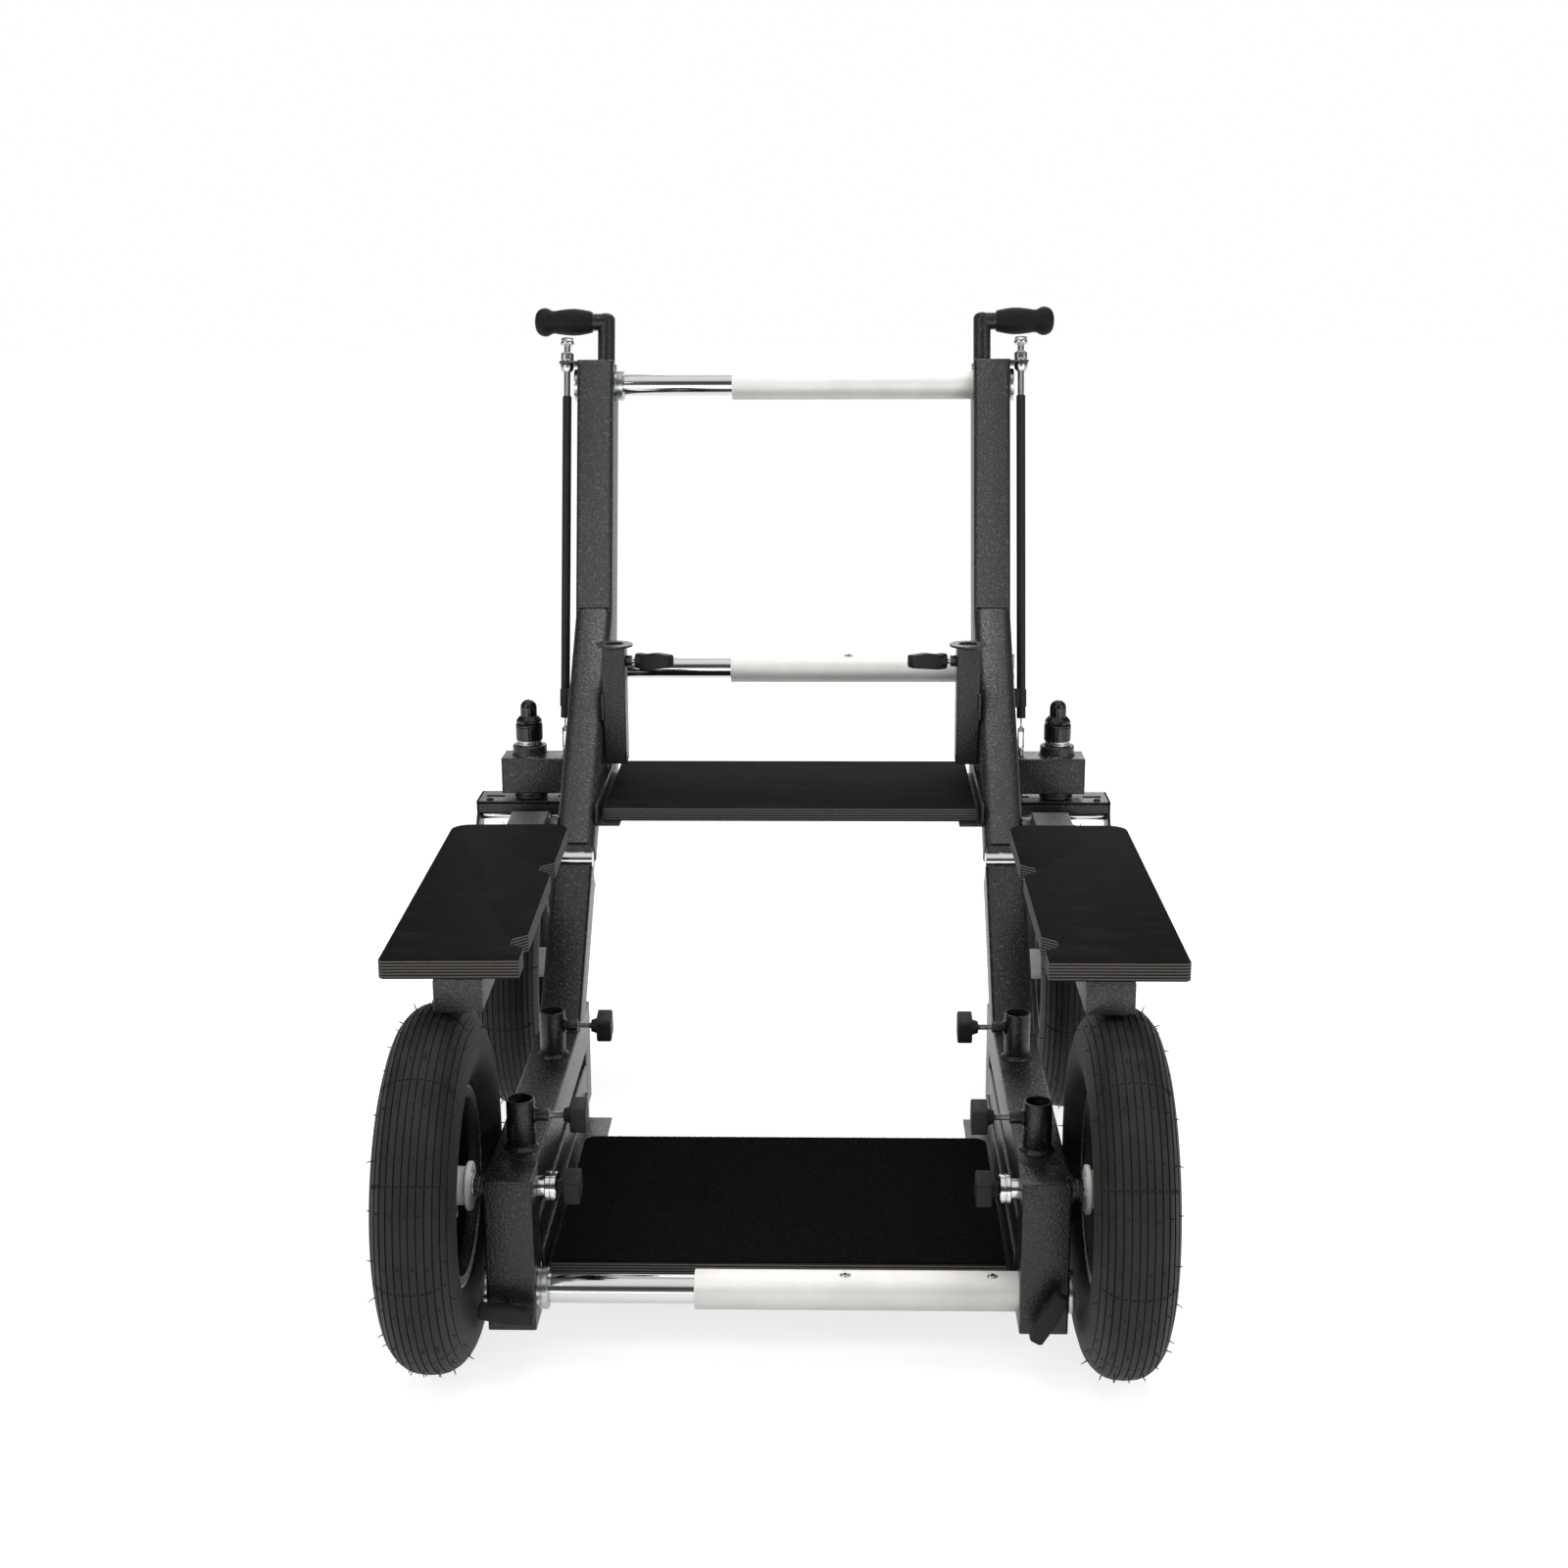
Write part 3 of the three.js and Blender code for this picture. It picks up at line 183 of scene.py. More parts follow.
class DollyFinishes(bpy.types.PropertyGroup):
    coat: tint("Powder coat", "#171818", "Black polyester powder coat")
    steel: tint("Polished steel", "#D9DADB", "Polished cross tubes, bars and axles")
    aluminium: tint("Anodised aluminium", "#F4F2EE", "Satin sleeves and hubs")
    zinc: tint("Zinc plate", "#BFC2C4", "Plated rods, bolts and pins")
    oxide: tint("Black oxide", "#141415", "Blackened nuts and bushes")
    nylon: tint("Moulded nylon", "#202122", "Knobs and clamp levers")
    grip: tint("Grip rubber", "#171716", "Rubber of the hand grips")
    tyre: tint("Tyre rubber", "#211F1D", "Rubber of the tyres")
    film: tint("Phenol film", "#151414", "Film on the seat and side boards")
    veneer: tint("Stained veneer", "#3B3937", "Edge of the plywood")
    carpet: tint("Needle felt", "#101010", "Carpet on the low platform")
    floor: tint("Floor", "#B3B3B3", "Paper of the studio floor, which glows to white")


GROUPS = {
    "dolly_frames": DollyFrameSizes, "dolly_wheels": DollyWheelSizes,
    "dolly_boards": DollyBoardSizes, "dolly_finishes": DollyFinishes,
}


def all_sizes():
    """The sizes of the panel, with their lengths in millimetres."""
    found = SimpleNamespace()
    for group in ("dolly_frames", "dolly_wheels", "dolly_boards"):
        for name in GROUPS[group].__annotations__:
            value = getattr(getattr(bpy.context.scene, group), name)
            setattr(found, name, value if isinstance(value, int) else value / MM)
    return found


# Shapes: each returns a new bmesh, which put() adds to a piece


def moved(shape, place):
    bmesh.ops.transform(shape, matrix=place, verts=shape.verts)
    return shape


def put(piece, shape, slot=0, place=None):
    """Adds a shape to a piece, with one material slot and an optional placing matrix."""
    if place is not None:
        moved(shape, place)
    for face in shape.faces:
        face.material_index = slot
    carrier = bpy.data.meshes.new("carrier")
    shape.to_mesh(carrier)
    shape.free()
    piece.from_mesh(carrier)
    bpy.data.meshes.remove(carrier)


def outward(shape):
    bmesh.ops.recalc_face_normals(shape, faces=shape.faces)
    return shape


def box_shape(low, high):
    shape = bmesh.new()
    bmesh.ops.create_cube(shape, size=1.0)
    low, high = Vector(low), Vector(high)
    bmesh.ops.scale(shape, vec=high - low, verts=shape.verts)
    bmesh.ops.translate(shape, vec=(low + high) / 2, verts=shape.verts)
    return shape


def soften(shape, edges, width, segments=2):
    bmesh.ops.bevel(shape, geom=edges, offset=width, offset_type="OFFSET", segments=segments,
                    profile=0.5, affect="EDGES", material=-1, clamp_overlap=True)
    return shape


def block(low, high, width):
    """A box with every edge rounded."""
    shape = box_shape(low, high)
    return soften(shape, shape.edges[:], width)


def bar(low, high, axis, corner, end):
    """A length of square tube: round corners along one axis, and crisper ends."""
    shape = box_shape(low, high)
    turn = Vector([1.0 if i == axis else 0.0 for i in range(3)])

    def runs_along(edge):
        return abs((edge.verts[0].co - edge.verts[1].co).normalized().dot(turn)) > 0.9

    soften(shape, [e for e in shape.edges if runs_along(e)], corner, 4)
    ends = [e for e in shape.edges if len(e.link_faces) == 2
            and sum(abs(f.normal.dot(turn)) > 0.9 for f in e.link_faces) == 1]
    return soften(shape, ends, end)


def cut(shape, point, normal):
    """Cuts a shape by a plane, drops the side that the normal points to, and closes the cut."""
    geometry = shape.verts[:] + shape.edges[:] + shape.faces[:]
    bmesh.ops.bisect_plane(shape, geom=geometry, plane_co=point, plane_no=normal, clear_outer=True)
    rim = [e for e in shape.edges if e.is_boundary]
    bmesh.ops.edgeloop_fill(shape, edges=rim)
    return outward(shape)


def leg_bar(start, end, inset, corner, cuts=()):
    """Square tube along the leg's middle line, from start to end, with its ends cut by planes."""
    half = TUBE / 2 - inset
    shape = bar((INNER_X + inset, -half, 0), (OUTER_X - inset, half, end - start), 2, corner, 0.6)
    moved(shape, placed((0, *along_leg(start, TUBE / 2)), LEG_SLOPE - math.pi / 2))
    for point, normal in cuts:
        cut(shape, point, normal)
    return shape


AXES = {
    "X": Matrix(((0, 0, 1, 0), (1, 0, 0, 0), (0, 1, 0, 0), (0, 0, 0, 1))),
    "Y": Matrix(((0, 1, 0, 0), (0, 0, 1, 0), (1, 0, 0, 0), (0, 0, 0, 1))),
    "Z": Matrix.Identity(4),
}


def turned(profile, axis, middle, segments=48):
    """Turns a profile of (radius, place along the axis) pairs into a round shape."""
    shape = bmesh.new()
    closed = profile[0] == profile[-1]
    points = profile[:-1] if closed else profile
    verts = [shape.verts.new((radius, 0, along)) for radius, along in points]
    pairs = list(zip(verts, verts[1:])) + ([(verts[-1], verts[0])] if closed else [])
    edges = [shape.edges.new(pair) for pair in pairs]
    bmesh.ops.spin(shape, geom=verts + edges, cent=(0, 0, 0), axis=(0, 0, 1), angle=FULL_TURN,
                   steps=segments, use_merge=True, use_duplicate=False)
    bmesh.ops.remove_doubles(shape, verts=shape.verts, dist=0.001)
    return outward(moved(shape, Matrix.Translation(middle) @ AXES[axis]))


def ring(profile, axis, middle, segments=48):
    """A turned shape whose profile closes on itself."""
    return turned(profile + profile[:1], axis, middle, segments)


def rod(radius, low, high, axis, middle, edge=0.4, segments=40, bore=0.0):
    """A round rod or tube with rounded rims, from low to high along its axis."""
    middle = Vector(middle)
    middle["XYZ".index(axis)] = 0
    outside = [(radius - edge, low), (radius - edge * 0.3, low + edge * 0.3), (radius, low + edge),
               (radius, high - edge), (radius - edge * 0.3, high - edge * 0.3), (radius - edge, high)]
    if bore:
        return ring([(bore, low)] + outside + [(bore, high)], axis, middle, segments)
    return turned([(0, low)] + outside + [(0, high)], axis, middle, segments)


def hexagon(width, low, high, axis, middle, edge=0.6):
    """A nut or bolt head with its corners turned off."""
    middle = Vector(middle)
    middle["XYZ".index(axis)] = 0
    radius = width / math.sqrt(3)
    shape = bmesh.new()
    bmesh.ops.create_cone(shape, cap_ends=True, segments=6, radius1=radius, radius2=radius,
                          depth=high - low)
    moved(shape, Matrix.Translation(middle) @ AXES[axis] @ Matrix.Translation((0, 0, (low + high) / 2)))
    return soften(shape, shape.edges[:], edge)


def prism(outline, plane, low, high, edge=0.0, segments=2):
    """An outline in the plane "YZ", "XY" or "XZ", with thickness across it and a rounded rim."""
    order = {"YZ": (2, 0, 1), "XY": (0, 1, 2), "XZ": (0, 2, 1)}[plane]
    shape = bmesh.new()
    verts = []
    for first, second in outline:
        local = (first, second, low)
        verts.append(shape.verts.new([local[i] for i in order]))
    grown = bmesh.ops.extrude_face_region(shape, geom=[shape.faces.new(verts)])["geom"]
    across = Vector([float(i == 2) for i in order])
    bmesh.ops.translate(shape, vec=across * (high - low),
                        verts=[g for g in grown if isinstance(g, bmesh.types.BMVert)])
    outward(shape)
    if edge:
        rim = [e for e in shape.edges if sum(abs(f.normal.dot(across)) > 0.9 for f in e.link_faces) == 1]
        soften(shape, rim, edge, segments)
    return shape


def arc(middle, radius, start, end, steps):
    """Points of an arc, with angles in degrees."""
    turns = [math.radians(start + (end - start) * step / steps) for step in range(steps + 1)]
    return [(middle[0] + radius * math.cos(at), middle[1] + radius * math.sin(at)) for at in turns]


def weld_line(start, end, radius, pitch):
    """A weld bead with its ripples, along a straight line."""
    run = Vector(end) - Vector(start)
    ripples = max(2, round(run.length / pitch))
    profile = [(0, 0)]
    for ripple in range(ripples):
        at = run.length * ripple / ripples
        profile += [(radius * 0.82, at + 0.2), (radius, at + run.length / ripples * 0.5)]
    profile += [(radius * 0.8, run.length - 0.2), (0, run.length)]
    turn = run.to_track_quat("Z", "Y").to_matrix().to_4x4()
    return moved(turned(profile, "Z", (0, 0, 0), 10), Matrix.Translation(start) @ turn)


def weld_ring(radius, bead, axis, middle, ripples):
    """A weld bead round a pipe: a fillet that swells and thins."""
    section = ((-0.4, 0), (1, 0), (0.75, 0.4), (0.3, 0.8), (-0.2, 1.25), (-0.4, 1.25))
    profile = [(radius + bead * out, bead * up) for out, up in section]
    shape = ring(profile, "Z", (0, 0, 0), ripples * 4)
    for vert in shape.verts:
        swell = 1 + 0.018 * math.sin(math.atan2(vert.co.y, vert.co.x) * ripples)
        vert.co.x *= swell
        vert.co.y *= swell
    return moved(shape, Matrix.Translation(middle) @ AXES[axis])


def make_piece(name, piece, finishes, body, side="right", smooth=35):
    """Turns a drawing into an object in metres, on its own side, that rides on its body."""
    bmesh.ops.scale(piece, vec=(SIDES[side] * MM, MM, MM), verts=piece.verts)
    if SIDES[side] < 0:
        bmesh.ops.reverse_faces(piece, faces=piece.faces)
    mesh = bpy.data.meshes.new(name)
    piece.to_mesh(mesh)
    piece.free()
    mesh.shade_smooth()
    mesh.set_sharp_from_angle(angle=math.radians(smooth))
    for finish in finishes.split():
        mesh.materials.append(finished(finish))
    made = in_scene(name, mesh)
    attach(made, body)
    return made


def in_scene(name, data):
    made = bpy.data.objects.new(name, data)
    bpy.context.scene.collection.objects.link(made)
    return made


def dress(piece, node, finishes, side=None, smooth=35):
    """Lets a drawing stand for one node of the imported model, on that node's body and with its slot."""
    name, look = (f"{node}_{side}", f"{node}_look_{side}") if side else (node, f"{node}_look")
    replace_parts(make_piece(look, piece, finishes, BODIES[name], side or "right", smooth), name)


# Materials


def add(tree, kind, feeds=None, stops=(), **options):
    """Adds a shader node: its options, its ramp's stops, and inputs fed by values or other nodes' outputs."""
    made = tree.nodes.new("ShaderNode" + kind)
    for name, value in options.items():
        setattr(made, name, value)
    for name, value in (feeds or {}).items():
        if isinstance(value, bpy.types.NodeSocket):
            tree.links.new(value, made.inputs[name])
        else:
            made.inputs[name].default_value = value
    for index, (place, shade) in enumerate(stops):
        elements = made.color_ramp.elements
        element = elements[index] if index < 2 else elements.new(place)
        element.position = place
        element.color = shade if isinstance(shade, tuple) else (shade, shade, shade, 1)
    return made.outputs


def empty_tree(owner):
    """The cleared node tree of a material or world."""
    owner.use_nodes = True
    owner.node_tree.nodes.clear()
    return owner.node_tree


def grains(tree, millimetres, detail=2.0, rough=0.5, stretch=(1, 1, 1)):
    """Noise whose grain has a real size, on the object's own coordinates."""
    place = add(tree, "TexCoord")["Object"]
    return add(tree, "TexNoise", {
        "Vector": add(tree, "Mapping", {"Vector": place, "Scale": stretch})[0],
        "Scale": 1 / (millimetres * MM), "Detail": detail, "Roughness": rough})[0]


def shades(colour, stops):
    """Stops of a colour made darker or lighter, from pairs of a place and a factor."""
    return [(place, tuple(min(1, c * factor) for c in colour[:3]) + (1,)) for place, factor in stops]


# Grains, by size in millimetres, detail, roughness and stretch. Real moulded and blasted skins are finer
# than these, which are as coarse as they need to be to show.
COAT, WAVES, FELT = (2.6, 2.0, 0.6), (26, 5.0, 0.62, (0.45, 1, 1)), (2.4, 6.0, 0.75)
BLAST, GRIT, PORES, SKIN, CLOUDS = (0.9, 2.0), (1.2, 2.0), (1.0, 2.0), (1.1, 3.0), (9, 4.0, 0.6)
# For each colour of the panel: the material's name, the shader's plain values, the factors that make its
# colour darker or lighter, its roughness and its relief (height in millimetres and strength). The last
# three start with the grain that they follow.
FINISHES = {
    # Polyester powder baked on steel: half gloss, with a fine pebbled skin. Its colour is speckled darker and
    # lighter at random, and its brightest specks, 8.5 times its colour, are painted glints where the pebbles
    # catch light. The pebbles are about a millimetre wide, drawn over twice as coarse so that they show.
    "coat": ("textured powder coat", {"IOR": 1.5, "Specular IOR Level": 0.5},
             (COAT, (0.3, 0.25), (0.5, 0.7), (0.6, 1.6), (0.74, 8.5)),
             (COAT, (0.35, 0.42), (0.65, 0.24)), (COAT, 0.6, 1.0)),
    # Ground and polished tube: bright, with faint scratches that run round it
    "steel": ("polished steel tube", {"Metallic": 1.0}, None,
              ((6, 4.0, 0.7, (14, 1, 1)), (0.3, 0.06), (0.75, 0.16)), None),
    # Bead blasted and clear anodised: pale, satin, with no grain direction. The blasted layer scatters much
    # of the light, which only a part metal shader shows.
    "aluminium": ("satin anodised aluminium", {"Metallic": 0.22}, ((40, 3.0), (0.3, 0.94), (0.7, 1.04)),
                  (BLAST, (0.3, 0.42), (0.7, 0.54)), (BLAST, 0.02, 0.4)),
    # Bright zinc on steel: a little bluish, softly clouded
    "zinc": ("bright zinc plate", {"Metallic": 1.0}, (CLOUDS, (0.3, 0.93), (0.7, 1.04)),
             (CLOUDS, (0.3, 0.3), (0.7, 0.24)), None),
    # Blackened and oiled steel of the kingpin's nuts: deep black with a clear shine
    "oxide": ("oiled black oxide steel", {"IOR": 1.5}, (CLOUDS, (0.3, 0.6), (0.7, 1.2)),
              (CLOUDS, (0.3, 0.12), (0.7, 0.24)), None),
    # From a spark eroded mould: even, dull and finely grained
    "nylon": ("glass filled nylon", {"IOR": 1.53, "Specular IOR Level": 0.25},
              ((14, 3.0), (0.3, 0.85), (0.7, 1.2)), (GRIT, (0.3, 0.48), (0.7, 0.6)), (GRIT, 0.08, 0.5)),
    # Soft moulded rubber: nearly matte
    "grip": ("grip rubber", {"IOR": 1.52, "Specular IOR Level": 0.15},
             ((10, 3.0), (0.3, 0.8), (0.7, 1.25)), (PORES, (0.3, 0.5), (0.7, 0.65)), (PORES, 0.08, 0.5)),
    # Carbon filled tyre rubber: dark grey, clouded paler at random by dust and a waxy bloom
    "tyre": ("tyre rubber", {"IOR": 1.52, "Specular IOR Level": 0.3},
             ((35, 5.0, 0.65), (0.3, 0.6), (0.7, 1.5)), (SKIN, (0.3, 0.52), (0.7, 0.72)), (SKIN, 0.08, 0.5)),
    # Black phenol film on plywood: dead flat, with faint waves of the peeled veneer, a few centimetres long
    # across the board. Dulled by sanding: a clear film would mirror the pale studio at this low angle.
    "film": ("phenol film on birch", {"IOR": 1.5, "Specular IOR Level": 0.02},
             (WAVES, (0.32, 0.62), (0.52, 0.95), (0.7, 1.7)), (WAVES, (0.3, 0.7), (0.7, 0.85)),
             ((1.6, 3.0), 0.1, 0.4)),
    # Deep black, no shine, with short loose fibres
    "carpet": ("needle felt carpet", {"Roughness": 1.0, "Specular IOR Level": 0.0},
               (FELT, (0.35, 0.5), (0.75, 2.4)), None, (FELT, 1.2, 0.8)),
    # Sawn plywood edge, stained black: alternate veneers show long grain and end grain
    "veneer": ("stained plywood edge", {"Roughness": 0.7, "Specular IOR Level": 0.15}, None, None, None),
}


def finished(key):
    """The material of a finish, made when it is first asked for."""
    name, plain, tones, gloss, relief = FINISHES[key]
    material = bpy.data.materials.get(name)
    if material:
        return material
    material = bpy.data.materials.new(name)
    tree = empty_tree(material)
    colour = getattr(bpy.context.scene.dolly_finishes, key)
    feeds = {**plain, "Base Color": colour}
    used = dict.fromkeys(part[0] for part in (tones, gloss, relief) if part)
    patterns = {grain: grains(tree, *grain) for grain in used}
    if tones:
        tinted = shades(colour, tones[1:])
        feeds["Base Color"] = add(tree, "ValToRGB", {"Fac": patterns[tones[0]]}, tinted)[0]
    if gloss:
        feeds["Roughness"] = add(tree, "ValToRGB", {"Fac": patterns[gloss[0]]}, gloss[1:])[0]
    if relief:
        feeds["Normal"] = add(tree, "Bump", {
            "Height": patterns[relief[0]], "Distance": relief[1] * MM, "Strength": relief[2]})[0]
    if key == "veneer":
        feeds.update(veneers(tree, colour))
    shader = add(tree, "BsdfPrincipled", feeds)[0]
    add(tree, "OutputMaterial", {"Surface": shader})
    return material


def veneers(tree, colour):
    """Layers of veneer up the edge: their colours, the fibres in them and the steps between them."""
    place = add(tree, "TexCoord")["Object"]
    height = add(tree, "SeparateXYZ", {"Vector": place})["Z"]
    pair = 2 * all_sizes().ply * MM
    layers = add(tree, "Math", {0: height, 1: pair}, operation="DIVIDE")[0]
    share = add(tree, "Math", {0: layers}, operation="FRACT")[0]
    bands = add(tree, "ValToRGB", {"Fac": share}, shades(colour, (
        (0.0, 0.12), (0.12, 0.12), (0.3, 1.1), (0.55, 1.1), (0.66, 5.4), (0.86, 5.4), (1.0, 0.12))))[0]
    fibres = add(tree, "ValToRGB", {"Fac": grains(tree, 2.5, 4.0, 0.7, (1, 1, 4))},
                 ((0.3, 0.55), (0.7, 1.0)))[0]
    return {
        "Base Color": add(tree, "Mix", {"Factor": 1.0, 6: bands, 7: fibres},
                          data_type="RGBA", blend_type="MULTIPLY")[2],
        "Normal": add(tree, "Bump", {"Height": share, "Distance": 0.3 * MM, "Strength": 0.6})[0]}


class DollyPart:
    """What the operators of the panel share."""

    bl_options = {"REGISTER", "UNDO"}


class DOLLY_OT_front_frames(DollyPart, bpy.types.Operator):
    """Front halves of the side frames, with the angles under the platform"""

    bl_idname = "dolly.front_frames"
    bl_label = "Front frames"

    def execute(self, context):
        sizes = all_sizes()
        low = box("front_frame_right")[0]
        joint, rear = FRONT_Y + TUBE - sizes.corner, FRAME_END - TUBE
        lower_top = RAIL_TOP - TUBE - RAIL_GAP
        bars = [
            ((INNER_X, FRONT_Y, low.z), (OUTER_X, FRONT_Y + TUBE, RAIL_TOP), 2),
            ((INNER_X, joint, RAIL_TOP - TUBE), (OUTER_X, FRAME_END, RAIL_TOP), 1),
            ((INNER_X, joint, lower_top - TUBE), (OUTER_X, rear + sizes.corner, lower_top), 1),
            ((INNER_X, rear, 90), (OUTER_X, FRAME_END, RAIL_TOP - TUBE + sizes.corner), 2),
        ]
        for side in SIDES:
            piece = bmesh.new()
            for bar_low, bar_high, axis in bars:
                put(piece, bar(bar_low, bar_high, axis, sizes.corner, sizes.edge))
            add_lower_leg(piece, sizes)
            add_angle(piece, sizes, "platform_board", low.x, start=52, span=424, height=33)
            for z in (RAIL_TOP - TUBE, lower_top, lower_top - TUBE):
                for y in (FRONT_Y + TUBE, rear):
                    add_cross_weld(piece, sizes, y, z)
            heel = LEG_FOOT_Y + TUBE / math.sin(LEG_SLOPE)
            for y in (LEG_FOOT_Y, min(heel, FRAME_END - 2)):
                add_cross_weld(piece, sizes, y, RAIL_TOP)
            dress(piece, "front_frame", "coat zinc", side)
        return {"FINISHED"}


def add_lower_leg(piece, sizes):
    """The lower leg, its end plate and the spigot that shows in the split."""
    end = leg_share(SUPPORT_BAR.y, SUPPORT_BAR.z) - SUPPORT_RADIUS - 1
    put(piece, leg_bar(-5, end - 2, 0, sizes.post_corner, [((0, 0, RAIL_TOP - 1), (0, 0, -1))]))
    put(piece, leg_bar(end - 3, end, 0, 1.2))
    put(piece, leg_bar(end - 10, end + 60, 2.8, 2))


def add_angle(piece, sizes, board, low_x, start, span, height):
    """The angle that carries a board: a shelf under it, and an upright on the frame that rises above it."""
    wall = sizes.angle_wall
    top = box(board)[0].z - GAP
    y0, y1 = FRONT_Y + start, FRONT_Y + start + span
    put(piece, block((low_x, y0, top - wall), (INNER_X, y1, top), 0.5))
    put(piece, block((INNER_X - wall, y0, top - wall), (INNER_X + 0.5, y1, top + height), 0.5))


def add_cross_weld(piece, sizes, y, z):
    """A bead across a tube's width."""
    put(piece, weld_line((INNER_X + 2, y, z), (OUTER_X - 2, y, z), sizes.weld, sizes.weld_pitch))


class DOLLY_OT_rear_frames(DollyPart, bpy.types.Operator):
    """Rear halves of the side frames: posts, upper legs, caster arms and brackets"""

    bl_idname = "dolly.rear_frames"
    bl_label = "Rear frames"

    def execute(self, context):
        for side in SIDES:
            piece = bmesh.new()
            for add_part in (add_post, add_upper_leg, add_caster_arm, add_seat_angle, add_lock_bracket,
                             add_arm_pivot):
                add_part(piece, all_sizes())
            dress(piece, "rear_frame", "coat zinc", side)
        return {"FINISHED"}


def add_post(piece, sizes):
    """The leaning post, cut level at its foot and square at its cap."""
    half = POST_DEPTH / 2
    post = bar((INNER_X, -half, -2 * TUBE), (OUTER_X, half, POST_END - 2), 2, sizes.post_corner, sizes.edge)
    put(piece, cut(moved(post, ON_POST), (0, 0, ARM_BOTTOM), (0, 0, -1)))
    put(piece, block((INNER_X, -half, POST_END - 3), (OUTER_X, half, POST_END), 1.0), 0, ON_POST)
    handle_x = box("push_handle_right")[0].x + HANDLE_RADIUS
    put(piece, weld_ring(HANDLE_RADIUS, 3, "Z", (handle_x, 0, POST_END), 14), 0, ON_POST)


def add_upper_leg(piece, sizes):
    """The upper leg, from the split to the post's front face."""
    start = leg_share(SUPPORT_BAR.y, SUPPORT_BAR.z) + SUPPORT_RADIUS + LEG_LEAD
    inside_post = ON_POST @ Vector((0, 8 - POST_DEPTH / 2, 0))
    normal = (0, math.cos(POST_LEAN), -math.sin(POST_LEAN))
    put(piece, leg_bar(start, 760, 0, 2 * sizes.post_corner, [(inside_post, normal)]))
    front = ON_POST @ Vector((0, -POST_DEPTH / 2, 0))
    slope = math.tan(POST_LEAN)
    for depth in (0, TUBE):
        # Where this face of the leg meets the post's front face
        foot_y, foot_z = along_leg(0, depth)
        along = (front.y + (foot_z - front.z) * slope - foot_y) / (
            math.cos(LEG_SLOPE) - math.sin(LEG_SLOPE) * slope)
        add_cross_weld(piece, sizes, *along_leg(along, depth))


def add_caster_arm(piece, sizes):
    """The arm over the caster, with the bearing collars under and on it."""
    high = box("rear_frame_right")[1]
    y0, y1 = KINGPIN.y - TUBE / 2, KINGPIN.y + TUBE / 2
    put(piece, bar((OUTER_X - 1, y0, ARM_BOTTOM), (high.x - 2, y1, ARM_TOP), 0, sizes.corner, sizes.edge))
    put(piece, block((high.x - 3, y0, ARM_BOTTOM), (high.x, y1, ARM_TOP), 1.0))
    put(piece, ring([(12.5, -9.5), (21, -9.5), (23, -8), (23, -5), (21.5, -4.2), (21.5, -3.4), (23, -2.6),
                     (23, 1), (12.5, 1)], "Z", (KINGPIN.x, KINGPIN.y, ARM_BOTTOM)))
    put(piece, ring([(12.5, -1), (23.5, -1), (23.5, 13.4), (22.6, 14.6), (21, 15), (12.5, 15)],
                    "Z", (KINGPIN.x, KINGPIN.y, ARM_TOP)))
    put(piece, weld_ring(23.5, 2.2, "Z", (KINGPIN.x, KINGPIN.y, ARM_TOP - 0.5), 22))
    for z in (ARM_BOTTOM + 1, ARM_TOP - 1):
        put(piece, weld_line((OUTER_X, y0 + 2, z), (OUTER_X, y1 - 2, z), sizes.weld, sizes.weld_pitch))
    put(piece, rod(2.6, high.x - 1, high.x, "X", (0, KINGPIN.y, ARM_MIDDLE)), 1)


def add_seat_angle(piece, sizes):
    """The angle under the seat board, with the screws that hold the board."""
    wall, low_x = sizes.angle_wall, box("rear_frame_right")[0].x
    add_angle(piece, sizes, "seat_board", low_x, start=652, span=272, height=28 - wall)
    under = box("seat_board")[0].z - GAP - wall
    for y in (FRONT_Y + 674, FRONT_Y + 884):
        put(piece, rod(4.2, under - 1.8, under + 0.2, "Z", (low_x + 14, y, 0), 1.0), 1)


def add_lock_bracket(piece, sizes):
    """The tab that the pull rod passes through, beside the post's cap."""
    low = BRACKET_TOP - sizes.angle_wall
    put(piece, block((OUTER_X - 1, LOCK_SIDE - 13, low), (LOCK_X + 10, LOCK_SIDE + 13, BRACKET_TOP), 0.7),
        0, ON_POST)
    put(piece, weld_line((OUTER_X, LOCK_SIDE - 11, low), (OUTER_X, LOCK_SIDE + 11, low), 1.8,
                         sizes.weld_pitch), 0, ON_POST)


def add_arm_pivot(piece, sizes):
    """The stub that the side arm turns on, and its spacer."""
    low, high = box("side_arm_right")
    line = (0, high.y - 13, (low.z + high.z) / 2)
    put(piece, rod(13, OUTER_X - 1, low.x - 0.5, "X", line, 0.8))
    put(piece, rod(8, OUTER_X - 1, high.x + 0.5, "X", line, 0.8), 1)


class DOLLY_OT_cross_tubes(DollyPart, bpy.types.Operator):
    """Telescoping cross tubes: polished inner tubes and satin sleeves"""

    bl_idname = "dolly.cross_tubes"
    bl_label = "Cross tubes"

    def execute(self, context):
        # For each tube: the places of its set screws, and how far back they lean
        for place, spots, back in (("front", (70, 222), 13), ("middle", (77,), 24), ("upper", (), 0)):
            make_inner_tube(place)
            make_tube_sleeve(place, spots, back)
        return {"FINISHED"}


def make_inner_tube(place):
    low, high = box(f"{place}_inner_tube")
    middle = (low + high) / 2
    disc = -OUTER_X - GAP
    piece = bmesh.new()
    put(piece, rod(15, disc - 0.5, high.x, "X", middle, 0.8, 64, 12.5))
    put(piece, rod(22.5, low.x, disc, "X", middle, 0.8, 64), 1)
    put(piece, ring([(15, 0), (21.5, 0), (21.5, 3.4), (20.6, 4), (20.6, 4.8), (21.5, 5.4), (21.5, 10),
                     (20.6, 11), (15, 11)], "X", (GAP - INNER_X, middle.y, middle.z), 64), 1)
    dress(piece, f"{place}_inner_tube", "steel zinc")


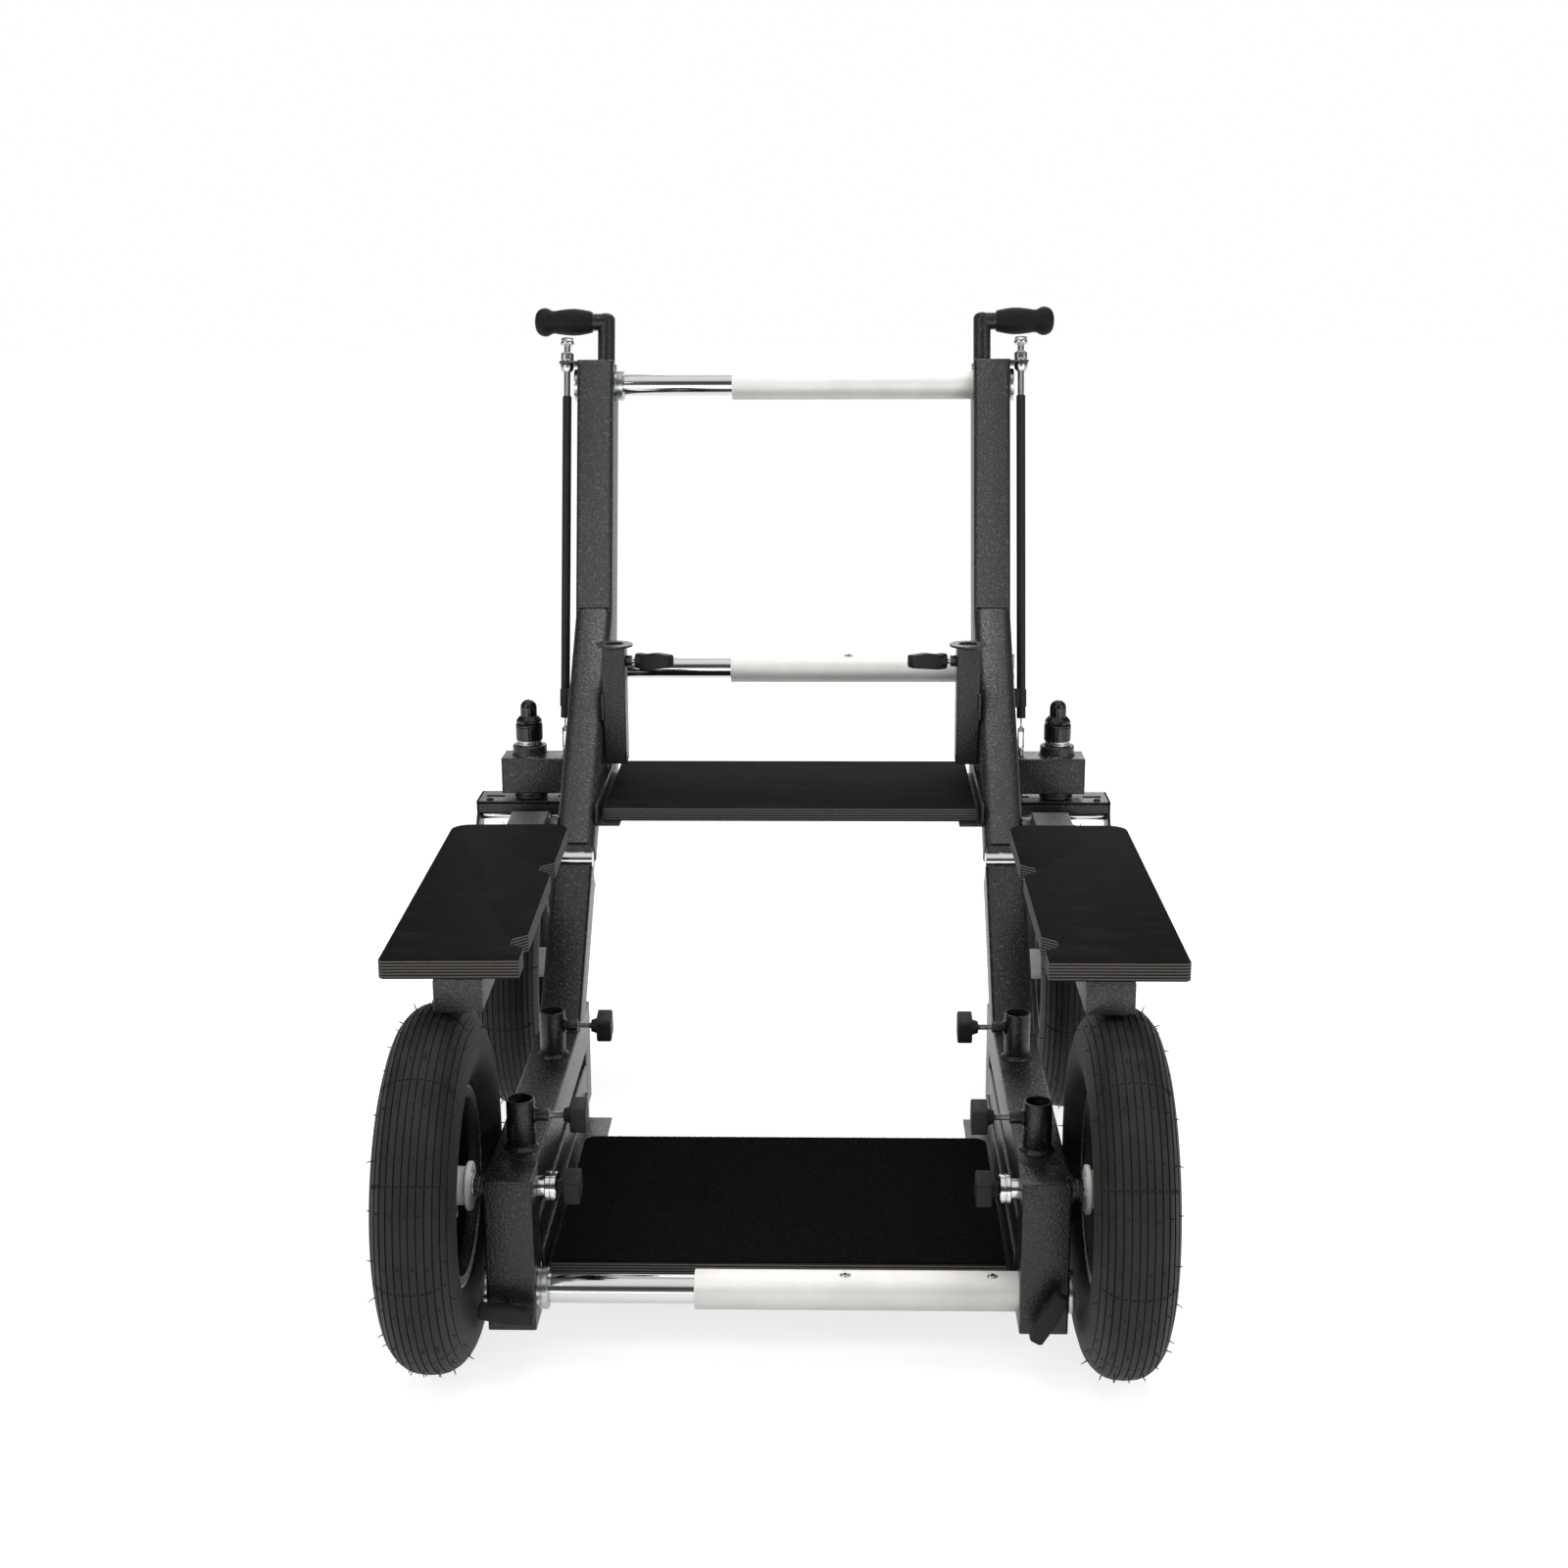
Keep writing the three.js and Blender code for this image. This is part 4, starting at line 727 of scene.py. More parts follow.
def make_tube_sleeve(place, spots, back):
    low, high = box(f"{place}_sleeve")
    middle = (low + high) / 2
    disc = OUTER_X + GAP
    piece = bmesh.new()
    put(piece, rod(SLEEVE_RADIUS, low.x, disc + 0.5, "X", middle, 0.8, 72, 15.5))
    put(piece, rod(22.5, disc, high.x, "X", middle, 0.8, 64), 1)
    for x in spots:
        add_set_screw(piece, (x, middle.y, middle.z), back)
    dress(piece, f"{place}_sleeve", "aluminium zinc nylon")


def add_set_screw(piece, spot, back):
    """A counterbored button screw, draped on the sleeve's round, high on its front; its socket is a dark disc
    of painted shade.
    """
    turn = placed(spot, math.radians(back))
    shapes = [
        (1, [(0, -2), (6.7, -2), (6.7, 0.08), (0, 0.08)]),
        (0, [(6.0, -2), (6.9, -2), (6.9, 0.2), (6.5, 0.3), (6.0, 0.2), (6.0, -2)]),
        (1, [(0, -2), (4.3, -2), (4.3, 0.3), (3.6, 0.9), (2.1, 1.0), (0, 1.0)]),
        # Painted shade: the head's socket is not cut, and this dark nylon disc stands for the shade in its
        # hollow
        (2, [(0, -2), (1.9, -2), (1.9, 1.08), (0, 1.08)]),
    ]
    for slot, profile in shapes:
        shape = turned(profile, "Z", (0, 0, 0), 32)
        for vert in shape.verts:
            vert.co.z += math.sqrt(SLEEVE_RADIUS ** 2 - vert.co.y ** 2)
        put(piece, shape, slot, turn)


class DOLLY_OT_sockets(DollyPart, bpy.types.Operator):
    """Round sockets on the rails and square seat sockets with their flanges"""

    bl_idname = "dolly.sockets"
    bl_label = "Sockets"

    def execute(self, context):
        for side in SIDES:
            for place in ("front", "rear"):
                make_round_socket(place, side)
            make_seat_socket(side)
        return {"FINISHED"}


def make_round_socket(place, side):
    low, high = box(f"{place}_socket_right")
    x, y = high.x - 19, (low.y + high.y) / 2
    boss_z = low.z + 35.7
    piece = bmesh.new()
    put(piece, rod(15, low.z, high.z, "Z", (x, y, 0), 0.5, 56, 12.7))
    put(piece, weld_ring(15, 3.6, "Z", (x, y, low.z), 16))
    put(piece, rod(6.5, low.x, x - 13, "X", (0, y, boss_z), 0.5, 32, 4))
    put(piece, weld_ring(6.5, 2.2, "X", (0, 0, 0), 10), 0, placed((x - 14.8, y, boss_z), math.pi, "Z"))
    put(piece, rod(12.6, low.z, low.z + 0.4, "Z", (x, y, 0), 0.1))
    dress(piece, f"{place}_socket", "coat", side)


def make_seat_socket(side):
    sizes = all_sizes()
    low, high = box("seat_socket_right")
    x1 = INNER_X - GAP
    x0 = x1 - 30
    x, y, top = (x0 + x1) / 2, (low.y + high.y) / 2, high.z - 3
    piece = bmesh.new()
    put(piece, bar((x0, y - 20, low.z), (x1, y + 20, top), 2, 2.6, sizes.edge))
    put(piece, rod(24.5, top - 0.2, high.z, "Z", (x, y, 0), 0.7, 64, 12.5))
    put(piece, rod(12.6, top - 0.4, top + 0.1, "Z", (x, y, 0), 0.1), 1)
    put(piece, rod(7.5, x0 - 8, x0 + 1, "X", (0, y, top - 20), 0.6, 32, 4.5))
    for corner_x in (x0 + 2, x1 - 2):
        put(piece, weld_line((corner_x, y - 12, top), (corner_x, y + 12, top), 1.6, sizes.weld_pitch))
    put(piece, weld_line((x1, y - 20, low.z + 60), (x1, y - 20, low.z + 95), 2.4, sizes.weld_pitch))
    dress(piece, "seat_socket", "coat nylon", side)


class DOLLY_OT_knobs(DollyPart, bpy.types.Operator):
    """Clamp knobs, seat levers and the clamp handles on the front uprights"""

    bl_idname = "dolly.knobs"
    bl_label = "Knobs and levers"

    def execute(self, context):
        for side in SIDES:
            for node in ("front_socket_knob", "rear_socket_knob", "axle_knob"):
                make_knob(node, side)
            make_seat_lever(side)
            make_clamp(side)
        return {"FINISHED"}


def make_knob(node, side):
    """A square knob turned a little about its line, with its cone and its screw."""
    low, high = box(f"{node}_right")
    y, z = (low.y + high.y) / 2, (low.z + high.z) / 2
    face = low.x + 17
    # A square of 29.5 with round corners
    corner = 5
    reach = 29.5 / 2 - corner
    outline = []
    for quarter, (across, up) in enumerate(((1, 1), (-1, 1), (-1, -1), (1, -1))):
        outline += arc((across * reach, up * reach), corner, 90 * quarter, 90 * quarter + 90, 6)
    piece = bmesh.new()
    put(piece, prism(outline, "YZ", low.x, face, 1.8, 3), 0, placed((0, y, z), math.radians(12)))
    put(piece, turned([(0, -1), (9.4, -1), (9.2, 0), (8.2, 3), (7, 6.6), (6.4, 7), (0, 7)],
                      "X", (face, y, z), 32))
    # The screw's shank with the crests of its thread
    start, pitch = face + 6, 1.25
    crests = math.ceil((high.x - start - pitch) / pitch)
    thread = [(0, start)]
    for crest in range(crests):
        thread += [(3.0, start + crest * pitch), (3.5, start + (crest + 0.5) * pitch)]
    thread += [(3.0, start + crests * pitch), (2.6, high.x), (0, high.x)]
    put(piece, turned(thread, "X", (0, y, z), 20), 1)
    dress(piece, node, "nylon zinc", side)


def make_seat_lever(side):
    low, high = box("seat_socket_right")
    line = (0, low.y + 24.5, high.z - 23)
    hub_end = INNER_X - 42.3
    blade = [(-4, -10), (10, -10), (53, -3), (55, 0), (55, 12), (53, 14), (28, 14), (8, 10), (-4, 10)]
    piece = bmesh.new()
    put(piece, prism(blade, "XZ", -6, 6, 1.4, 3), 0,
        placed((hub_end - 7, *line[1:]), math.radians(180 + 38), "Z"))
    put(piece, rod(8.5, hub_end - 14, hub_end, "X", line, 1.2))
    put(piece, rod(4, hub_end - 1, box("seat_lever_right")[1].x, "X", line), 1)
    dress(piece, "seat_lever", "nylon zinc", side)


def make_clamp(side):
    """The T handle on the front of an upright, at the turn that the photo shows."""
    turn = math.radians(8 if side == "left" else 62)
    stud = Vector((277, FRONT_Y, 76))
    outline = [(29 * across, 9.5 * up) for across, up in (
        (-1, -0.5), (-0.93, -0.78), (0, -1), (0.93, -0.78), (1, -0.5),
        (1, 0.5), (0.93, 0.78), (0, 1), (-0.93, 0.78), (-1, 0.5))]
    piece = bmesh.new()
    put(piece, prism(outline, "XZ", -23, -10, 1.6, 3), 0, placed(stud, -turn, "Y"))
    put(piece, rod(4.5, FRONT_Y - 10.5, FRONT_Y + 3.5, "Y", stud), 1)
    put(piece, rod(6.5, FRONT_Y - 10.3, FRONT_Y - 8, "Y", stud), 1)
    dress(piece, "clamp_handle", "nylon zinc", side)


class DOLLY_OT_wheels(DollyPart, bpy.types.Operator):
    """Pneumatic tyres with ribbed tread, rims with hubs, and the front axles"""

    bl_idname = "dolly.wheels"
    bl_label = "Wheels"

    def execute(self, context):
        for side in SIDES:
            for place, middle in (("front", FRONT_WHEEL), ("rear", REAR_WHEEL)):
                make_tyre(place, middle, side)
                make_rim(place, middle, side)
            make_front_axle(side)
        return {"FINISHED"}


# Places of the grooves across one half of the tread
GROOVES = (36.5, 31.5, 25.5, 18.5, 11, 3.5)


def half_outline():
    """Half of the tyre's outside, from the bead to the middle of the tread: radius and place across."""
    body = ((104.3, 0.54), (108, 0.64), (110, 0.69), (111, 0.69), (114, 0.76), (122, 0.88), (132, 0.964),
            (143, 1.0), (153, 0.984), (162, 0.932), (170, 0.852), (176.5, 0.75), (181.5, 0.64),
            (185, 0.53), (187.5, 0.41), (189, 0.28), (189.8, 0.14), (190, 0))
    low, high = box("front_tyre_right")
    return [(radius, share * (high.x - low.x) / 2) for radius, share in body]


def radius_at(along):
    """The tread's radius at a place across it."""
    along = abs(along)
    half = [point for point in half_outline() if point[0] > 143]
    for (radius, first), (next_radius, second) in zip(half, half[1:]):
        if second <= along <= first:
            return radius + (next_radius - radius) * (first - along) / (first - second)
    return half[0][0]


def mirrored(half):
    """A profile's points, then the same ones from the other side of its middle in backward order."""
    return half + [(radius, -along) for radius, along in reversed(half)]


def make_tyre(place, middle, side):
    sizes = all_sizes()
    # Faces of their own for each groove of the tread
    outside = [point for point in half_outline() if point[0] <= 153]
    for groove in GROOVES:
        for offset, dip in ((0.75, 0), (0.45, sizes.groove), (-0.45, sizes.groove), (-0.75, 0)):
            outside.append((radius_at(groove + offset) - dip, groove + offset))
    hollow = [(96.4, -22.5), (96.4, -14), (118, -26), (148, -32), (172, -21)]
    steps = sizes.rows * 9
    tyre = turned(
        outside + [(radius_at(0), 0)] + mirrored(outside)[len(outside):]
        + hollow + [(179, 0)] + mirrored(hollow)[len(hollow):] + outside[:1], "X", middle, steps)
    add_cuts(tyre, middle, steps, sizes)
    piece = bmesh.new()
    put(piece, tyre)
    add_hairs(piece, middle, sizes)
    dress(piece, f"{place}_tyre", "tyre", side, 40)


def add_cuts(tyre, middle, steps, sizes):
    """Thin cuts across the ribs, in every second row."""
    chosen = []
    for face in tyre.faces:
        at = face.calc_center_median() - middle
        step = int((math.atan2(at.z, at.y) + math.pi) / FULL_TURN * steps)
        if math.hypot(at.y, at.z) > 172 and face.calc_area() > 14 and step % 18 == 4:
            chosen.append(face)
    bmesh.ops.inset_individual(tyre, faces=chosen, thickness=0.5, depth=0)
    for face in chosen:
        face_middle = face.calc_center_median()
        around = (face_middle - middle).cross(Vector((1, 0, 0))).normalized()
        for vert in face.verts:
            vert.co -= around * (vert.co - face_middle).dot(around) * 0.74
            vert.co.x -= (vert.co.x - face_middle.x) * 0.35
    bmesh.ops.inset_individual(tyre, faces=chosen, thickness=0.1, depth=-sizes.sipe)


def add_hairs(piece, middle, sizes):
    """Rubber hairs in rows across the tread, left where the mould was vented."""
    for row in range(sizes.rows):
        at = FULL_TURN * (row + 0.5) / sizes.rows
        if math.cos(at) < -0.96:
            continue  # pressed flat where the tyre stands
        places = (-35, -21, -7, 7, 21, 35) if row % 2 else (-38.5, -28, -14, 0, 14, 28, 38.5)
        for index, along in enumerate(places):
            slope = math.atan2(radius_at(abs(along) - 1) - radius_at(abs(along) + 1), 2)
            size = sizes.hair * (0.45 + 0.55 * ((index * 5 + row * 3) % 7) / 6)
            spike = bmesh.new()
            bmesh.ops.create_cone(spike, cap_ends=True, segments=4, radius1=0.8, radius2=0.4, depth=size)
            put(piece, spike, 0, placed(middle, at)
                @ placed((along, 0, radius_at(along)), math.copysign(slope, along), "Y")
                @ placed((0, 0, 0), 0.5 * math.sin(index * 2.4 + row))
                @ Matrix.Translation((0, 0, size / 2 - 0.8)))


def make_rim(place, middle, side):
    """A rim of two pressed halves on a steel hub, with its bolts and valve."""
    low, high = box(f"{place}_rim_right")
    piece = bmesh.new()
    half = [(19, -9), (24, -9), (46, -9), (60, -5), (82, -8), (90, -14), (90, -20), (92, -26), (103, -26),
            (104, -25), (104, -23), (97, -22.8), (96, -21)]
    put(piece, ring(mirrored(half), "X", middle, 96))
    inner, outer = low.x - middle.x, high.x - middle.x
    flange = [(8.5, 0), (13, 0), (13.6, 1), (16, 1), (16.6, 0), (24.7, 0), (25.5, 0.8), (25.5, 4.2),
              (24.7, 5), (20, 5.4)]
    put(piece, ring([(radius, inner + along) for radius, along in flange]
                    + [(20, outer - 1), (19, outer), (8.5, outer)], "X", middle, 56), 3)
    for edge in (-26, 26):
        put(piece, ring([(101, edge - 0.3), (103.2, edge - 0.3), (104.2, edge), (103.2, edge + 0.3),
                         (101, edge + 0.3)], "X", middle, 96), 1)
    for bolt in range(5):
        at = FULL_TURN * bolt / 5
        spot = (0, middle.y + 35 * math.cos(at), middle.z + 35 * math.sin(at))
        put(piece, hexagon(13, middle.x - 15, middle.x + 15, "X", spot), 1)
    put(piece, turned([(0, 70), (3, 70), (3, 73), (4.5, 74), (5.5, 92), (0, 92)], "Z", (20, 0, 0), 20), 2,
        placed(middle, 0.6))
    dress(piece, f"{place}_rim", "coat zinc tyre aluminium", side)


def make_front_axle(side):
    """Axle through the rail: ringed collar inside, washer and spacer outside, nut beyond the hub."""
    line = (0, FRONT_WHEEL.y, FRONT_WHEEL.z)
    neck = INNER_X - GAP
    washer = OUTER_X + GAP
    spacer = washer + 4.7
    hub_inner, hub_outer = (corner.x for corner in box("front_rim_right"))
    groove = (spacer + hub_inner) / 2
    piece = bmesh.new()
    put(piece, ring([(4, -20), (14.5, -20), (15.5, -19), (15.5, -15), (14.6, -14.4), (14.6, -13.6),
                     (15.5, -13), (15.5, -9), (14.5, -8), (11, -8), (11, 0), (4, 0)],
                    "X", (neck, *line[1:]), 64))
    put(piece, rod(8, neck - 2, hub_outer + 1, "X", line, 0.5))
    put(piece, rod(16.5, washer, spacer, "X", line, 0.9, 64))
    put(piece, ring([(7, spacer), (11.5, spacer), (11.5, groove - 2.2), (10.4, groove - 1.4),
                     (10.4, groove + 1.4), (11.5, groove + 2.2), (11.5, hub_inner - 0.8),
                     (7, hub_inner - 0.8)], "X", line, 56))
    put(piece, rod(15, hub_outer + 0.5, hub_outer + 2, "X", line))
    put(piece, hexagon(24, hub_outer + 2, box("front_axle_right")[1].x, "X", line, 1))
    dress(piece, "front_axle", "steel", side)


class DOLLY_OT_casters(DollyPart, bpy.types.Operator):
    """Caster forks, their kingpins and the rear axles"""

    bl_idname = "dolly.casters"
    bl_label = "Casters"

    def execute(self, context):
        for side in SIDES:
            make_fork(side)
            make_kingpin(side)
            make_rear_axle(side)
        return {"FINISHED"}


def make_fork(side):
    low, high = box("caster_fork_right")
    top, plate, flange, ear = high.z, 4, 17, 24
    front, back = KINGPIN.y - 28, KINGPIN.y + 28
    wheel = REAR_WHEEL
    piece = bmesh.new()
    # The crown, in strips that leave a slot on either side of the kingpin
    edges = (low.x, wheel.x - 63, wheel.x - 37, wheel.x + 37, wheel.x + 63, high.x)
    for x0, x1 in zip(edges[::2], edges[1::2]):
        put(piece, box_shape((x0, front, top - plate), (x1, back, top)))
    for x0, x1 in (edges[1:3], edges[3:5]):
        for y0, y1 in ((front, KINGPIN.y - 4.75), (KINGPIN.y + 4.75, back)):
            put(piece, box_shape((x0, y0, top - plate), (x1, y1, top)))
    for y in (front, back - plate):
        put(piece, block((low.x + 1, y, top - flange), (high.x - 1, y + plate, top - 1), 1))
    outline = [(back, top), (front, top), (front, top - flange), (wheel.y - ear, wheel.z)]
    outline += arc((wheel.y, wheel.z), ear, 180, 360, 14)[1:] + [(back, top - flange)]
    for x in (low.x, high.x - plate):
        put(piece, prism(outline, "YZ", x, x + plate, 0.9))
    for y in (front + 12, back - 12):
        put(piece, rod(5.5, low.x + plate - 1, high.x - plate + 1, "X", (0, y, top - 23), 0.3), 1)
    for x in (low.x + 18, high.x - 18):
        put(piece, turned([(0, 3.4), (3, 3), (5, 1.2), (5, 0), (0, 0)], "Z", (x, front + 9, top), 24), 2)
    dress(piece, "caster_fork", "coat steel oxide", side)


def make_kingpin(side):
    low, high = box("kingpin_right")
    line = (KINGPIN.x, KINGPIN.y, 0)
    washer = ARM_TOP + 15.5
    bush = washer + 3
    seam = bush + 3.2
    nut = bush + 26
    dome = nut + 11
    piece = bmesh.new()
    put(piece, rod(12, low.z, washer + 1, "Z", line), 1)
    put(piece, rod(19, washer, bush, "Z", line, 0.8, 64), 1)
    put(piece, rod(17.3, bush, seam, "Z", line, 0.2, 64), 1)
    put(piece, turned([(0, seam), (18, seam), (18.7, seam + 0.8), (18.7, nut - 4.6), (18.2, nut - 3.9),
                       (18.7, nut - 3.2), (18.7, nut - 1.6), (17.8, nut - 0.5), (15, nut), (0, nut)],
                      "Z", line, 72))
    add_king_nut(piece, nut, dome)
    radius = 11.5
    round_top = high.z - radius
    put(piece, turned([(0, dome - 1), (radius, dome - 1), (radius, round_top)]
                      + arc((0, round_top), radius, 10, 90, 10)[:-1] + [(0, high.z)], "Z", line, 64))
    dress(piece, "kingpin", "oxide zinc", side)


def add_king_nut(piece, low, high):
    """The kingpin's nut: six flats below, and a long chamfer that draws in to the dome."""
    radius = 31 / math.sqrt(3)
    waist = low + (high - low) * 0.42
    nut = bmesh.new()
    bmesh.ops.create_cone(nut, cap_ends=True, segments=6, radius1=radius, radius2=radius, depth=waist - low)
    bmesh.ops.translate(nut, vec=(0, 0, (low + waist) / 2), verts=nut.verts)
    top = max(nut.faces, key=lambda face: face.calc_center_median().z)
    grown = bmesh.ops.extrude_face_region(nut, geom=[top])["geom"]
    verts = [g for g in grown if isinstance(g, bmesh.types.BMVert)]
    bmesh.ops.scale(nut, vec=(0.72, 0.72, 1), verts=verts)
    bmesh.ops.translate(nut, vec=(0, 0, high - waist), verts=verts)
    nut.faces.remove(top)
    soften(nut, nut.edges[:], 0.8)
    put(piece, outward(nut), 0, placed((KINGPIN.x, KINGPIN.y, 0), 0.35, "Z"))


def make_rear_axle(side):
    low, high = (corner.x for corner in box("rear_axle_right"))
    line = (0, REAR_WHEEL.y, REAR_WHEEL.z)
    piece = bmesh.new()
    put(piece, rod(8, low + 2, high - 1, "X", line, 1))
    put(piece, hexagon(22, low, low + 8, "X", line, 1))
    put(piece, rod(12.5, low + 8, low + 10, "X", line))
    put(piece, hexagon(22, high - 8, high - 1, "X", line, 1))
    put(piece, rod(12.5, high - 10, high - 8, "X", line))
    dress(piece, "rear_axle", "zinc", side)


class DOLLY_OT_locks(DollyPart, bpy.types.Operator):
    """Pull rods of the caster locks with their sleeves, clevises and pins"""

    bl_idname = "dolly.locks"
    bl_label = "Caster locks"

    def execute(self, context):
        for side in SIDES:
            make_lock_rod(side)
            make_lock_bush(side)
            make_lock_sleeve(side)
            make_lock_pin(side)
        return {"FINISHED"}


def make_lock_rod(side):
    """The pull rod under its washer and nut, and the wire that goes down to the clevis."""
    wire_end = (box("lock_pin_right")[1].z + 0.4 - ARM_MIDDLE) * math.cos(POST_LEAN)
    head = BRACKET_TOP + 25
    piece = bmesh.new()
    put(piece, rod(9.3, head, head + 4.5, "Z", LOCK_LINE, 0.8, 48))
    put(piece, hexagon(16.4, head + 4.5, head + 9, "Z", LOCK_LINE, 0.8))
    put(piece, rod(4.5, 85, head + 1, "Z", LOCK_LINE))
    put(piece, rod(1.2, wire_end, 86, "Z", LOCK_LINE, 0.2, 16))
    dress(moved(piece, ON_POST), "lock_rod", "zinc", side)


def make_lock_bush(side):
    """The screwed bush that guides the rod in its bracket: washer and nut above, long nut below."""
    piece = bmesh.new()
    put(piece, rod(9, BRACKET_TOP, BRACKET_TOP + 2.6, "Z", LOCK_LINE, 0.5, 48, 5))
    nut = ring([(5, 2.6), (8.4, 2.6), (9, 3.4), (9, 12.6), (7.8, 14.4), (5, 14.4)],
               "Z", (LOCK_X, LOCK_SIDE, BRACKET_TOP), 6)
    put(piece, soften(nut, nut.edges[:], 0.5))
    put(piece, ring([(5, 0), (8.4, 0), (9, -1), (9, -5), (6.4, -10), (5, -10)],
                    "Z", (LOCK_X, LOCK_SIDE, BRACKET_TOP - 3), 24))
    make_piece(f"lock_bush_{side}", moved(piece, ON_POST), "zinc", f"{side}_frame", side)


def make_lock_sleeve(side):
    piece = bmesh.new()
    put(piece, rod(6.2, 74, BRACKET_TOP - 47, "Z", LOCK_LINE, 0.8, 40, 5))
    put(piece, block((OUTER_X + GAP, LOCK_SIDE - 7, 89), (LOCK_X - 3, LOCK_SIDE + 7, 115), 0.9))
    put(piece, rod(7.4, 90, 114, "Z", LOCK_LINE, 0.8))
    dress(moved(piece, ON_POST), "lock_sleeve", "nylon", side)


def make_lock_pin(side):
    low, high = box("lock_pin_right")
    x, y, top = LOCK_X, KINGPIN.y, high.z
    piece = bmesh.new()
    put(piece, rod(4, low.z, top - 30, "Z", (x, y, 0), 0.8))
    for cheek in (x - 3.4, x + 3.4):
        put(piece, block((cheek - 1.1, y - 4, top - 31), (cheek + 1.1, y + 4, top - 2), 0.5))
    put(piece, block((x - 4.5, y - 4.5, top - 34), (x + 4.5, y + 4.5, top - 29), 0.7))
    put(piece, rod(2.4, top - 8, top, "Z", (x, y, 0), 0.4, 20))
    put(piece, rod(1.8, x - 4.5, x + 4.5, "X", (0, y, top - 6), 0.4, 16))
    dress(piece, "lock_pin", "zinc", side)


class DOLLY_OT_handles(DollyPart, bpy.types.Operator):
    """Push handles and their rubber grips"""

    bl_idname = "dolly.handles"
    bl_label = "Push handles"

    def execute(self, context):
        for side in SIDES:
            make_handle(side)
            make_grip(side)
        return {"FINISHED"}


# Height of the handle's level part, up the post
HANDLE_LEVEL = POST_END + 62


def make_handle(side):
    low, high = box("push_handle_right")
    x = low.x + HANDLE_RADIUS
    crown = HANDLE_LEVEL + HANDLE_RADIUS
    upright = [(0, POST_END - 5), (HANDLE_RADIUS, POST_END - 5), (HANDLE_RADIUS, crown - 9)]
    upright += arc((HANDLE_RADIUS - 9, crown - 9), 9, 8, 90, 8)
    piece = bmesh.new()
    put(piece, turned(upright + [(0, crown)], "Z", (x, 0, 0), 56))
    put(piece, rod(HANDLE_RADIUS, x, high.x, "X", (0, 0, HANDLE_LEVEL), 0.8, 56))
    dress(moved(piece, ON_POST), "push_handle", "coat", side)


def make_grip(side):
    """Waisted grip with a collar at its root and a flared, closed end."""
    low, high = box("grip_right")
    bore, start, end = 12.3, low.x, high.x
    root = [(12.9, 4), (12.9, 0.5), (13.6, 0), (14.3, 0.5), (14.9, 2), (15.6, 5), (16.6, 10), (17.5, 15),
            (18.2, 20), (18.5, 25), (18.4, 31), (17.8, 38), (16.9, 45), (15.9, 51), (15.6, 54)]
    tip = [(15.9, 25), (16.9, 22.5), (18.4, 20), (19.4, 17.5), (19.7, 15.5), (19.6, 13), (19.0, 10),
           (17.7, 7), (15.4, 4.2), (12, 2), (8, 0.8), (4, 0.2), (0, 0), (0, 13.7), (bore, 13.7)]
    profile = [(bore, start + 4)] + [(radius, start + along) for radius, along in root]
    profile += [(radius, end - back) for radius, back in tip]
    piece = bmesh.new()
    put(piece, ring(profile, "X", (0, 0, HANDLE_LEVEL), 56), 0, ON_POST)
    dress(piece, "grip", "grip", side)


class DOLLY_OT_boards(DollyPart, bpy.types.Operator):
    """Platform, seat board, side boards and the arms and bars under them"""

    bl_idname = "dolly.boards"
    bl_label = "Boards"

    def execute(self, context):
        make_platform()
        low, high = box("seat_board")
        outline = [(low.x, low.y), (high.x, low.y), (high.x, high.y), (low.x, high.y)]
        dress(layered(outline, low.z, high.z), "seat_board", "film veneer")
        for side, skew in (("left", 1.25), ("right", 0)):
            make_side_board(side, skew)
            make_side_arm(side, skew)
            piece = bmesh.new()
            low, high = box("support_bar_right")
            put(piece, rod(SUPPORT_RADIUS, low.x, high.x, "X", SUPPORT_BAR, 1, 56))
            dress(piece, "support_bar", "steel", side)
        return {"FINISHED"}


def layered(outline, low, high):
    """A board whose faces have film in slot 0 and whose sawn edge has veneers in slot 1."""
    piece = bmesh.new()
    put(piece, prism(outline, "XY", low, high, all_sizes().chamfer))
    for face in piece.faces:
        face.material_index = 0 if abs(face.normal.z) > 0.5 else 1
    return piece


def rounded_back(low, high, corner):
    """The rear edge of a board's outline, with its two rounded corners."""
    return (arc((high.x - corner, high.y - corner), corner, 0, 90, 8)
            + arc((low.x + corner, high.y - corner), corner, 90, 180, 8))


def make_platform():
    """The low board: plywood with needle felt on top that frays along its edges."""
    low, high = box("platform_board")
    pile = all_sizes().pile
    outline = [(low.x, low.y), (high.x, low.y)] + rounded_back(low, high, 14)
    piece = layered(outline, low.z, high.z - pile)
    put(piece, prism(outline, "XY", high.z - pile, high.z - 0.3, 0.7), 2)
    # Loose fibres that stand along the felt's edges, spread evenly and out of step by these ratios
    for index in range(900):
        share, other, tall = ((index * ratio) % 1 for ratio in (0.6180339887, 0.7548776662, 0.5698402910))
        x = low.x + (high.x - low.x) * share
        y = high.y - 16 * other ** 2 if index % 3 else low.y + 6 * other
        spike = bmesh.new()
        bmesh.ops.create_cone(spike, cap_ends=True, segments=3, radius1=0.35, radius2=0.1,
                              depth=1.0 + 1.6 * tall)
        lean = Euler((0.9 * (other - 0.5), 1.2 * (share - 0.5), index)).to_matrix().to_4x4()
        put(piece, spike, 2, Matrix.Translation((x, y, high.z + 0.1)) @ lean)
    dress(piece, "platform_board", "film veneer carpet")


def skewed(piece, skew):
    """Turns a side platform's piece about its pivot, by degrees."""
    pivot = Vector((335, FRONT_Y + 662, 0))
    return moved(piece, placed(pivot, -math.radians(skew), "Z") @ Matrix.Translation(-pivot))


